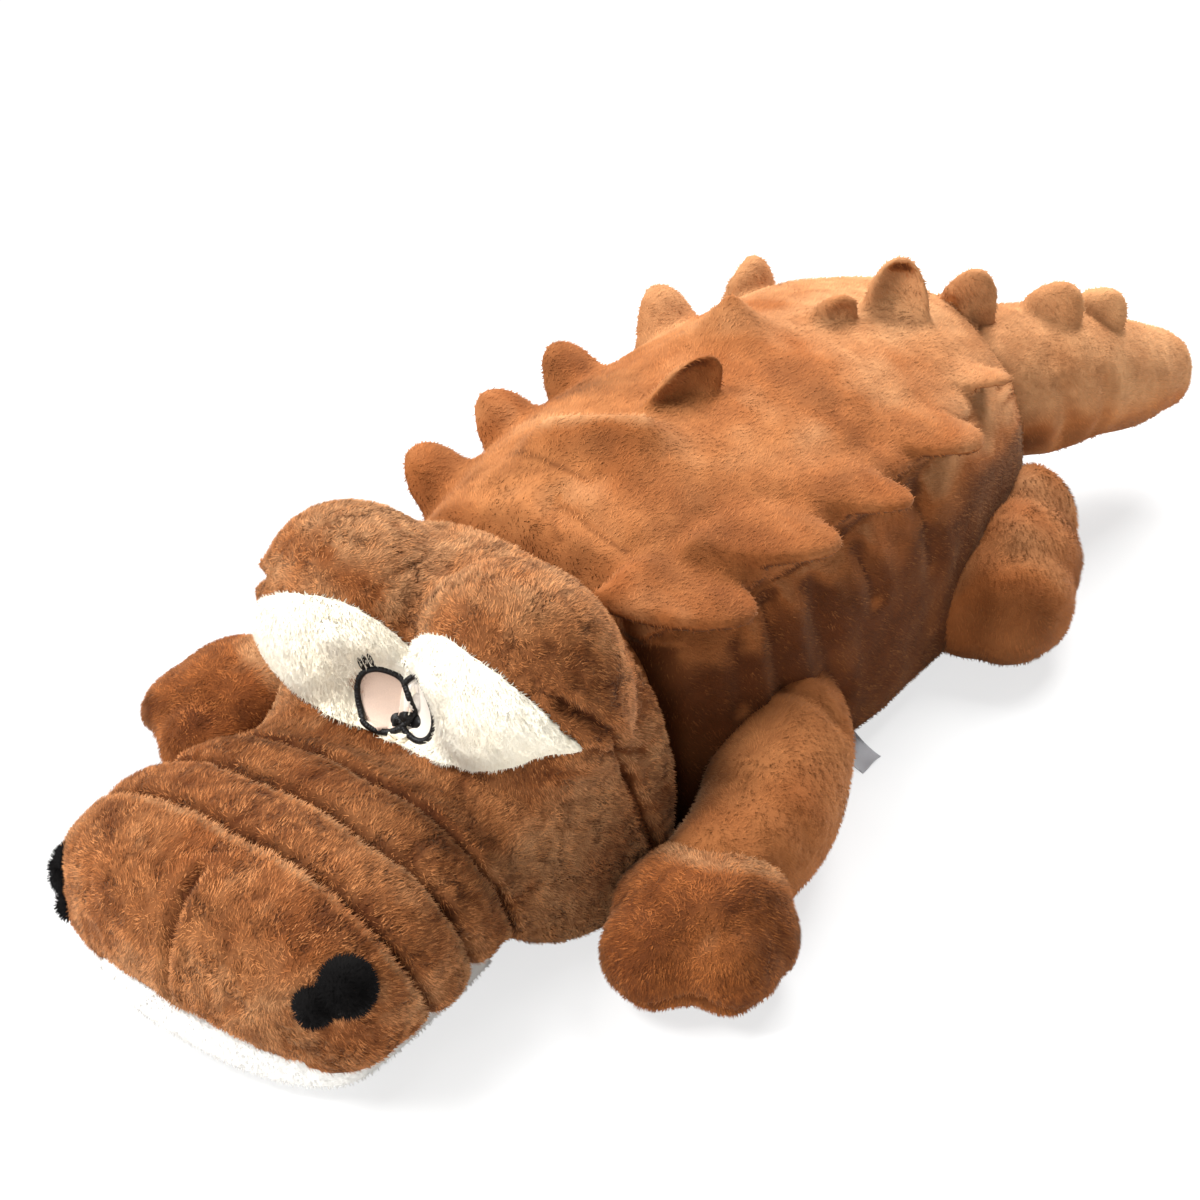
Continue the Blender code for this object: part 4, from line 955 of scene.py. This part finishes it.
headTree = surfaceOf(headCloth)
gridStep = 0.0022
patchTrees = []
for name, side in (("left", 1.0), ("right", -1.0)):
    outline = evenLine(patchOutlines[name], 160)
    ring = np.column_stack([outline, np.zeros(len(outline))])
    ring = np.vstack([ring, ring[:1]])
    patch = addShape(
        name + "Patch", bpy.ops.mesh.primitive_grid_add, x_subdivisions=68, y_subdivisions=50, size=2.0)
    co = readPoints(patch)
    flat = np.stack([np.interp(co[:, 0], (-1, 1), (-0.001, 0.149)), np.interp(co[:, 1], (-1, 1), (-0.070, 0.030))], 1)
    edge = distanceTo(np.column_stack([flat, 0 * co[:, 0]]), ring)
    inside = insideOutline(flat, outline)
    # Points just outside the outline are brought onto it, so the edge runs smoothly
    nearest = outline[np.argmin(((flat[:, None, :] - outline[None]) ** 2).sum(2), axis=1)]
    rim = ~inside & (edge < gridStep * 1.1)
    flat[rim] = nearest[rim]
    depth = np.array([depthOf(headTree, side * px, ph) for px, ph in flat])
    # The cloth lies even below the eyes
    zone = (flat[:, 0] < 0.046) & (flat[:, 1] < -0.010) & (flat[:, 1] > -0.064)
    px, ph = flat[:, 0], flat[:, 1] + 0.04
    terms = np.column_stack([px * 0 + 1, px, ph, px * ph, px ** 2, ph ** 2])
    even = terms @ np.linalg.lstsq(terms[zone], depth[zone], rcond=None)[0]
    share = smoothStep(0.062, 0.042, flat[:, 0]) * smoothStep(0.004, -0.014, flat[:, 1])
    depth += (even - depth) * share
    writePoints(patch, placed(side * flat[:, 0], flat[:, 1], depth))
    bpy.ops.object.mode_set(mode="EDIT")
    bpy.ops.mesh.select_mode(type="VERT")
    bpy.ops.mesh.select_all(action="DESELECT")
    bpy.ops.object.mode_set(mode="OBJECT")
    patch.data.vertices.foreach_set("select", ~(inside | rim))
    bpy.ops.object.mode_set(mode="EDIT")
    bpy.ops.mesh.delete(type="VERT")
    bpy.ops.object.mode_set(mode="OBJECT")
    facesOut(patch)
    if (readPoints(patch, "normal") @ seenAlong).mean() > 0:
        bpy.ops.object.mode_set(mode="EDIT")
        bpy.ops.mesh.select_all(action="SELECT")
        bpy.ops.mesh.flip_normals()
        bpy.ops.object.mode_set(mode="OBJECT")
    co, out = pointsAndNormals(patch)
    edge = distanceTo(np.column_stack([np.abs(co[:, 0]), co @ seenUp, 0 * co[:, 0]]), ring)
    calm = smoothStep(0.075, 0.045, np.abs(co[:, 0])) * smoothStep(0.010, -0.010, co @ seenUp)
    lift = 0.0015 + 0.0048 * (1 - np.exp(-edge / 0.010)) * (1 - calm) + 0.0018 * calm - 0.0010 * eyeWeight(co)
    lift += 0.0006 * softNoise(co, 0.012, 50)
    writePoints(patch, co + out * lift[:, None])
    applyModifier(patch, "SMOOTH", iterations=3, factor=0.5)
    applyModifier(patch, "SOLIDIFY", thickness=0.0070, offset=-1.0)
    bpy.ops.object.shade_smooth()
    patchTrees.append(surfaceOf(patch))
    dress(patch, "cream", ["eye_patch_" + name], ride="head",
          pile={"perArea": 420000, "length": 0.0034, "width": 0.0010, "lean": 0.50, "nap": napDown, "seed": 51,
                "keep": besideEyes})
print("patches ready")

co = readPoints(headCloth)
rise = co @ seenUp
headShade = 0.55 * softNoise(co, 0.030, 44) + 0.30 * softNoise(co, 0.011, 45) - 0.05
# Painted light on the top of the head
headShade += 0.55 * smoothStep(0.185, 0.235, co[:, 2])
wide = np.abs(co[:, 0])
# Painted shade under the brows, just above the patches
hood = 0.75 * bell(rise - 0.036, 0.014) * smoothStep(-0.245, -0.270, co[:, 1])
headShade -= hood * smoothStep(0.02, 0.04, wide)
# Painted highlight on the inner edges of the brow tops beside the valley
headShade += 0.60 * bell(wide - 0.016, 0.007) * smoothStep(0.175, 0.195, co[:, 2])
# Painted light low on the snout's front, painted shade on its upper part
lowSide = 0.35 * smoothStep(0.10, 0.07, co[:, 2]) - 0.25 * smoothStep(0.10, 0.12, co[:, 2])
headShade += smoothStep(-0.335, -0.350, co[:, 1]) * lowSide
# Painted light on the cheeks
cheek = 0.85 * smoothStep(0.09, 0.13, wide) * smoothStep(-0.36, -0.33, co[:, 1])
headShade += cheek * smoothStep(0.17, 0.12, co[:, 2])
# Painted light on the far brow's top, painted highlight on the tuck crests and painted shade in the partings
farBrow = 0.50 * smoothStep(0.0, -0.05, co[:, 0]) * smoothStep(0.175, 0.20, co[:, 2])
headShade += farBrow + 1.2 * tuckHighlight - 0.5 * parted
dress(
    headCloth, "head", ["head_panel", "head_filling", "brow_left", "brow_right"],
    ride="head", halves=True,
    bare=headBare, shade=np.clip(headShade, -1, 1),
    pile={"perArea": 400000, "length": 0.0046, "width": 0.0009, "lean": 0.74, "nap": napBack,
          "seed": 71, "partings": 0.8})
print("head", len(headCloth.data.polygons))


def eyeSurface(x, h):
    missed = 9.0
    depth = min(depthOf(tree, x, h, missed) for tree in patchTrees)
    return depth if depth < missed else depthOf(headTree, x, h) - 0.004


def finishThread(thing, material, nodes):
    facesOut(thing)
    bpy.ops.object.shade_smooth()
    thing.data.materials.append(material)
    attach(thing, "head")
    if nodes:
        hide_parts(*nodes)


def stitchedRing(name, centre, halves, width, height):
    # Raised satin stitch round an oval, with the ridges of its threads
    thick = 0.25
    thing = addShape(
        name, bpy.ops.mesh.primitive_torus_add, major_segments=240, minor_segments=12, major_radius=1.0,
        minor_radius=thick)
    co = readPoints(thing)
    major = np.arctan2(co[:, 1], co[:, 0])
    radial = (np.hypot(co[:, 0], co[:, 1]) - 1.0) / thick
    rise = co[:, 2] / thick
    x = centre[0] + np.cos(major) * (halves[0] + radial * width / 2)
    h = centre[1] + np.sin(major) * (halves[1] + radial * width / 2)
    ridge = 1 + 0.22 * np.sign(np.sin(major * 60)) * np.abs(rise)
    # Laid on the cloth, without the cloth's own small bumps
    angles = np.linspace(0, 2 * math.pi, 73)[:-1]
    under = np.array([eyeSurface(centre[0] + halves[0] * math.cos(t), centre[1] + halves[1] * math.sin(t))
                      for t in angles])
    for _ in range(6):
        under = (np.roll(under, 1) + under * 2 + np.roll(under, -1)) / 4
    depth = np.interp(major % (2 * math.pi), np.append(angles, 2 * math.pi), np.append(under, under[0])) - 0.0008
    writePoints(thing, placed(x, h, depth - rise * height * ridge))
    return thing


def stitchedSpot(name, centre, halves, height):
    # A filled oval of thread that follows the cloth
    thing = blob(name, (0, 0, 0), (1, 1, 1), segments=48)
    co = readPoints(thing)
    x = centre[0] + halves[0] * co[:, 0]
    h = centre[1] + halves[1] * co[:, 2]
    depth = np.array([eyeSurface(*place) for place in zip(x, h)]) + co[:, 1] * height
    writePoints(thing, placed(x, h, depth))
    return thing


for name, eye in eyes.items():
    finishThread(
        stitchedRing(name + "EyeRing", eye["centre"], eye["halves"], eye["width"], 0.0019),
        blackThread, ["eye_outline_" + name])
    finishThread(
        stitchedSpot(name + "Iris", eye["centre"], eye["halves"], 0.0010),
        eye["fill"], ["iris_" + name])
    finishThread(
        stitchedSpot(name + "Pupil", eye["pupil"], eye["spot"], 0.0030), blackThread, ["pupil_" + name])
for index, place in enumerate(((-0.0290, -0.0195), (-0.0258, -0.0165), (-0.0224, -0.0145))):
    lash = stitchedSpot("lash" + str(index + 1), place, (0.0013, 0.0044), 0.0024)
    finishThread(lash, blackThread, [])

nostrils = {
    "left": (((0.119, -0.486, 0.094), (0.0165, 0.0160, 0.0185)), ((0.106, -0.501, 0.082), (0.0120, 0.0110, 0.0125))),
    "right": (((-0.124, -0.484, 0.065), (0.0140, 0.0180, 0.0190)), ((-0.116, -0.494, 0.047), (0.0110, 0.0115, 0.0125))),
}
for name, lobes in nostrils.items():
    lobes = [blob("nostril", centre, radii) for centre, radii in lobes]
    nostril = melt(name + "Nostril", lobes, 0.0016, 10)
    puffUp(nostril, 0.0008, 0.0006, 33)
    dress(nostril, "black", ["nostril_" + name], ride="head",
          pile={"perArea": 500000, "length": 0.0040, "width": 0.0011, "lean": 0.45, "nap": napBack, "seed": 81})

jawRows = [
    (-0.521, 0.108, 0.044, 0.0, 0.022),
    (-0.480, 0.115, 0.044, 0.0, 0.022),
    (-0.440, 0.117, 0.044, 0.0, 0.022),
    (-0.400, 0.114, 0.044, 0.0, 0.022),
    (-0.360, 0.110, 0.042, 0.0, 0.022),
    (-0.318, 0.104, 0.038, 0.0, 0.020),
]
jawCloth = melt("jawCloth", [longForm("jawForm", jawRows, (0.052, 0.030), (0.5, 0.5), 90, 160)], 0.0028, 2)
puffUp(jawCloth, 0.0008, 0.0005, 35)
dress(jawCloth, "white", ["jaw_panel"], ride="head",
      pile={"perArea": 230000, "length": 0.0035, "width": 0.0010, "lean": 0.55, "nap": napDown, "seed": 91})


# ---- neck: a soft sleeve between body and head

neckRows = [(y, 0.108, 0.192, 0.020, 0.100) for y in (-0.205, -0.178, -0.150)]
neckCloth = melt("neckSleeve", [longForm("neckForm", neckRows, (0.010, 0.010), (0.85, 0.5), 40, 160)], 0.0030, 2)
dress(neckCloth, "back", ["neck"])
print("head and neck ready")


# ---- limbs

shoulder = np.array([0.13175, -0.0538, 0.054033])
hip = np.array([0.1085, 0.221762, 0.060009])


def turned(point, pivot, degrees):
    a = math.radians(degrees)
    d = np.asarray(point, float) - pivot
    return pivot + np.array([d[0] * math.cos(a) - d[1] * math.sin(a), d[0] * math.sin(a) + d[1] * math.cos(a), d[2]])


armLine = [(-0.25, 0.20, 0.02), (0.0, 0.0, 0.0), (0.235, -0.35, -0.025), (0.35, -0.65, -0.035), (0.385, -0.93, -0.04)]
armRadii = [0.043, 0.049, 0.0485, 0.046, 0.041]
armReach = 0.172  # unit of the arm's own measures
pawTurn = 28.0  # degrees the mitten points inwards
armLobes = [
    ((0.440, -1.110, 0.0), (0.056, 0.062, 0.0420)),
    ((0.395, -1.350, 0.0), (0.0370, 0.045, 0.0330)),
    ((0.600, -1.240, 0.0), (0.0400, 0.044, 0.0340)),
    ((0.500, -1.280, 0.0), (0.0400, 0.044, 0.0330)),
    ((0.620, -1.080, 0.0), (0.0330, 0.036, 0.0330)),
    ((0.260, -1.150, 0.0), (0.0330, 0.044, 0.0330)),
]


def armPoint(s, rest, side):
    return turned(shoulder + armReach * np.array(s), shoulder, rest) * (side, 1, 1)


for name, side, rest in (("left", 1.0, 0.0), ("right", -1.0, -5.0)):
    line = [armPoint(s, rest, side) for s in armLine]
    sleeve = melt(name + "ArmCloth", [tubeForm("armForm", line, armRadii, 40, 64)], 0.0027, 2)
    puffUp(sleeve, 0.0018, 0.0005, 61)
    creases = []
    for station, depth in ((1.25, 0.0040), (3.2, 0.0014)):
        centre = np.array([np.interp(station, range(5), [p[i] for p in line]) for i in range(3)])
        around = [(-0.04 * side, 0.012, 0.030), (0, -0.004, 0.046), (0.042 * side, 0.004, 0.02)]
        creases.append(([centre + offset for offset in around], depth, 0.009))
    grooves(sleeve, creases)
    lobes = []
    for s, radii in armLobes:
        centre = armPoint(s, rest, side)
        centre[2] = radii[2] - 0.001
        centre[0] -= 0.012 * (side < 0)
        lobes.append(blob("pawLobe", Vector(centre), radii, (pawTurn + rest) * side))
    paw = melt(name + "PawCloth", lobes, 0.0024, 30)
    puffUp(paw, 0.0014, 0.0010, 63)
    # The seam round the front of the mitten, with the sole below it
    co, out = pointsAndNormals(paw)
    middle = (co.min(0) + co.max(0)) / 2
    turn = math.radians(pawTurn)
    lateral = (co - middle) @ np.array([math.cos(turn) * side, math.sin(turn), 0])
    seam = 0.015 + 0.011 * bell(lateral - 0.008, 0.022) + 0.002 * softNoise(co, 0.03, 64)
    front = smoothStep(0.1, -0.3, out[:, 1] * 0.8 - 0.2 * side * out[:, 0])
    dent = 0.0050 * bell(lateral - 0.008, 0.016) * smoothStep(0.03, 0.0, co[:, 2] - seam)
    # The seam line is bare of pile and gets painted shade
    pawBare = front * bell(co[:, 2] - seam, 0.0022)
    writePoints(paw, co - out * (front * (0.0050 * bell(co[:, 2] - seam, 0.0034) + dent))[:, None])
    wrist = armPoint((0.385, -0.93, 0), rest, side)
    # Painted light on the upper rear edge where the paw meets the sleeve
    rear = smoothStep(0.052, 0.034, np.linalg.norm((co - wrist)[:, :2], axis=1)) * smoothStep(0.03, 0.06, co[:, 2])
    pawShade = 0.5 * softNoise(co, 0.024, 66) + 0.25 * softNoise(co, 0.010, 68) - 0.28 + 1.1 * rear
    pivot = shoulder * (side, 1, 1)
    joint = ("body", "arm_" + name, Vector(pivot + (-0.03 * side, 0.02, 0)), Vector(pivot + (0.03 * side, -0.035, 0)))
    dress(sleeve, "back", ["front_leg_" + name],
          pile={"perArea": 170000, "length": 0.0045, "width": 0.0011, "lean": 0.66, "nap": napDown,
                "seed": 65, "partings": 0.3})
    dress(paw, "paw", ["front_paw_" + name], ride="arm_" + name,
          bare=pawBare, shade=np.clip(pawShade, -1, 1),
          pile={"perArea": 420000, "length": 0.0045, "width": 0.0009, "lean": 0.70, "nap": napDown,
                "seed": 67, "partings": 0.5})

footReach = 0.053  # unit of the foot's own measures
footLobes = [
    ((0.10, 0.05), (0.050, 0.055, 0.056)),
    ((0.90, 0.22), (0.054, 0.066, 0.0560)),
    ((1.36, -0.36), (0.0440, 0.052, 0.0470)),
    ((0.62, 1.16), (0.0400, 0.050, 0.0600)),
    ((0.82, -0.60), (0.0420, 0.048, 0.0490)),
]
for name, side in (("left", 1.0), ("right", -1.0)):
    lobes = []
    for s, radii in footLobes:
        centre = hip + footReach * np.array([*s, 0])
        centre[2] = radii[2] - 0.001
        lobes.append(blob("footLobe", Vector(centre * (side, 1, 1)), radii, -8.0 * side))
    foot = melt(name + "FootCloth", lobes, 0.0027, 40)
    puffUp(foot, 0.0014, 0.0010, 73)
    co = readPoints(foot)
    # Random tone with painted light on the top of the foot and painted shade low down
    dress(foot, "back", ["hind_foot_" + name], ride="foot_" + name,
          shade=np.clip(0.4 * softNoise(co, 0.03, 76) + 0.6 * smoothStep(0.05, 0.10, co[:, 2]) - 0.35, -1, 1),
          pile={"perArea": 170000, "length": 0.0045, "width": 0.0011, "lean": 0.62, "nap": napDown,
                "seed": 75, "partings": 0.3})
print("limbs ready")


# ---- tail

tailRoot = np.array([0.05301, 0.33014, 0.145914])
tailSteps = [(-0.10, -0.16, 0.01), (0, 0, 0), (0.080, 0.140, -0.012), (0.158, 0.288, -0.033), (0.242, 0.512, -0.080),
             (0.302, 0.716, -0.134), (0.340, 0.900, -0.178)]
tailReach = 0.215  # unit of the tail's own measures
tailLine = [tailRoot + tailReach * np.array(s) for s in tailSteps]
tailRadii = [0.064, 0.064, 0.063, 0.0605, 0.0535, 0.046, 0.037]
tailParts = [tubeForm("tailForm", tailLine, tailRadii, 60, 96)]
for station in (3, 4):
    root = tailLine[station] + (0.004, -0.004, tailRadii[station] - 0.005)
    tailParts.append(earForm(root, root + (0.004, 0.012, 0.031), (0.85, 0.52, 0), 0.029, 0.014, 0.007, inset=0.012))
tailCloth = melt("tailCloth", tailParts, 0.0027, 4)
puffUp(tailCloth, 0.0022, 0.0010, 83)
grooves(tailCloth, [
    ([(0.115, 0.360, 0.150), (0.120, 0.372, 0.110)], 0.0040, 0.009),
    ([(0.125, 0.400, 0.145), (0.128, 0.405, 0.110)], 0.0030, 0.008),
])
co, out = pointsAndNormals(tailCloth)
# Painted light over the tail with random tone, and painted shade on its underside
tailShade = 0.75 + 0.35 * softNoise(co, 0.03, 86) - 1.1 * smoothStep(0.15, -0.55, out[:, 2])
dress(tailCloth, "back", ["tail_top_panel", "tail_under_panel", "tail_filling",
                                        "tail_scute_1", "tail_scute_2"],
      shade=np.clip(tailShade, -1, 1),
      pile={"perArea": 160000, "length": 0.0038, "width": 0.0011, "lean": 0.66, "nap": napBack,
            "seed": 85, "partings": 0.1})
print("tail ready")


# ---- care label: a bare satin ribbon, sewn into the seam of flank and belly

labelRoot = np.array([0.141874, 0.01181, 0.019839])
halfRibbon = 0.012
ribbon = addShape("careLabel", bpy.ops.mesh.primitive_grid_add, x_subdivisions=32, y_subdivisions=20, size=2.0)
co = readPoints(ribbon)
share = (co[:, 0] + 1) / 2
across = co[:, 1] * halfRibbon
rise = -0.0185 * np.sin(share * math.pi / 2) ** 0.9 + 0.0012 * np.sin(across / halfRibbon * 2.2 + 0.6) * share
writePoints(ribbon, labelRoot + np.column_stack([0.036 * share - 0.001, across - 0.004 * share ** 2, rise]))
applyModifier(ribbon, "SOLIDIFY", thickness=0.0009, offset=0.0)
facesOut(ribbon)
bpy.ops.object.shade_smooth_by_angle(angle=math.radians(40))
ribbon.data.materials.append(satin)
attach(ribbon, "label")
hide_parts("care_label")
print("label ready")


# ---- camera, light and floor

cameraLook = {"azimuth": 0.657934, "elevation": 0.549699, "distance": 1.730595, "lens": 72.08,
              "target": (-0.003, -0.0855, 0.1206)}


def aimed(thing, place, target):
    thing.location = place
    thing.rotation_euler = (Vector(target) - Vector(place)).to_track_quat("-Z", "Y").to_euler()


az, el = cameraLook["azimuth"], cameraLook["elevation"]
back = Vector((math.sin(az) * math.cos(el), -math.cos(az) * math.cos(el), math.sin(el)))
bpy.ops.object.camera_add()
camera = bpy.context.object
camera.data.lens = cameraLook["lens"]
camera.data.sensor_width = 36.0
aimed(camera, Vector(cameraLook["target"]) + back * cameraLook["distance"], cameraLook["target"])
bpy.context.scene.camera = camera

lamps = {
    "keyLamp": {"place": (-0.95, -1.45, 2.00), "size": 1.0, "power": 88.0},
    "topLamp": {"place": (-0.15, 1.30, 1.65), "size": 1.1, "power": 72.0},
    "fillLamp": {"place": (0.80, -2.50, 0.80), "size": 1.6, "power": 27.0},
}
for name, look in lamps.items():
    bpy.ops.object.light_add(type="AREA")
    lamp = bpy.context.object
    lamp.name = name
    lamp.data.size = look["size"]
    lamp.data.energy = look["power"]
    aimed(lamp, look["place"], (0.0, 0.0, 0.05))

world = bpy.data.worlds.new("studio")
bpy.context.scene.world = world
world.use_nodes = True
worldTree = world.node_tree
seen = addNode(worldTree, "ShaderNodeLightPath", output=0)
worldTree.nodes["Background"].inputs[0].default_value = (1, 1, 1, 1)
strength = seen * 0.80 + 0.20  # full white to the camera, a fifth of it as light
worldTree.links.new(strength.socket, worldTree.nodes["Background"].inputs[1])

floor = addShape("floor", bpy.ops.mesh.primitive_plane_add, size=9.0, location=(0, 0, -0.0005))
floorMaterial, floorTree, floorShader = newMaterial("paleFloor")
floorShader.inputs["Base Color"].default_value = (0.93, 0.93, 0.92, 1)
floorShader.inputs["Roughness"].default_value = 0.9
floorShader.inputs["Specular IOR Level"].default_value = 0.0
glow = addNode(floorTree, "ShaderNodeEmission", {}, {0: (1, 1, 1, 1), 1: 1.0})
seen = addNode(floorTree, "ShaderNodeLightPath", output=0)
lit = Wire(floorTree, floorShader.outputs[0])
shown = addNode(floorTree, "ShaderNodeMixShader", {}, {0: seen * 0.72, 1: lit, 2: glow})
floorTree.links.new(shown.socket, floorTree.nodes["Material Output"].inputs[0])
floor.data.materials.append(floorMaterial)

bpy.context.scene.view_settings.view_transform = "Standard"

print("scene ready")
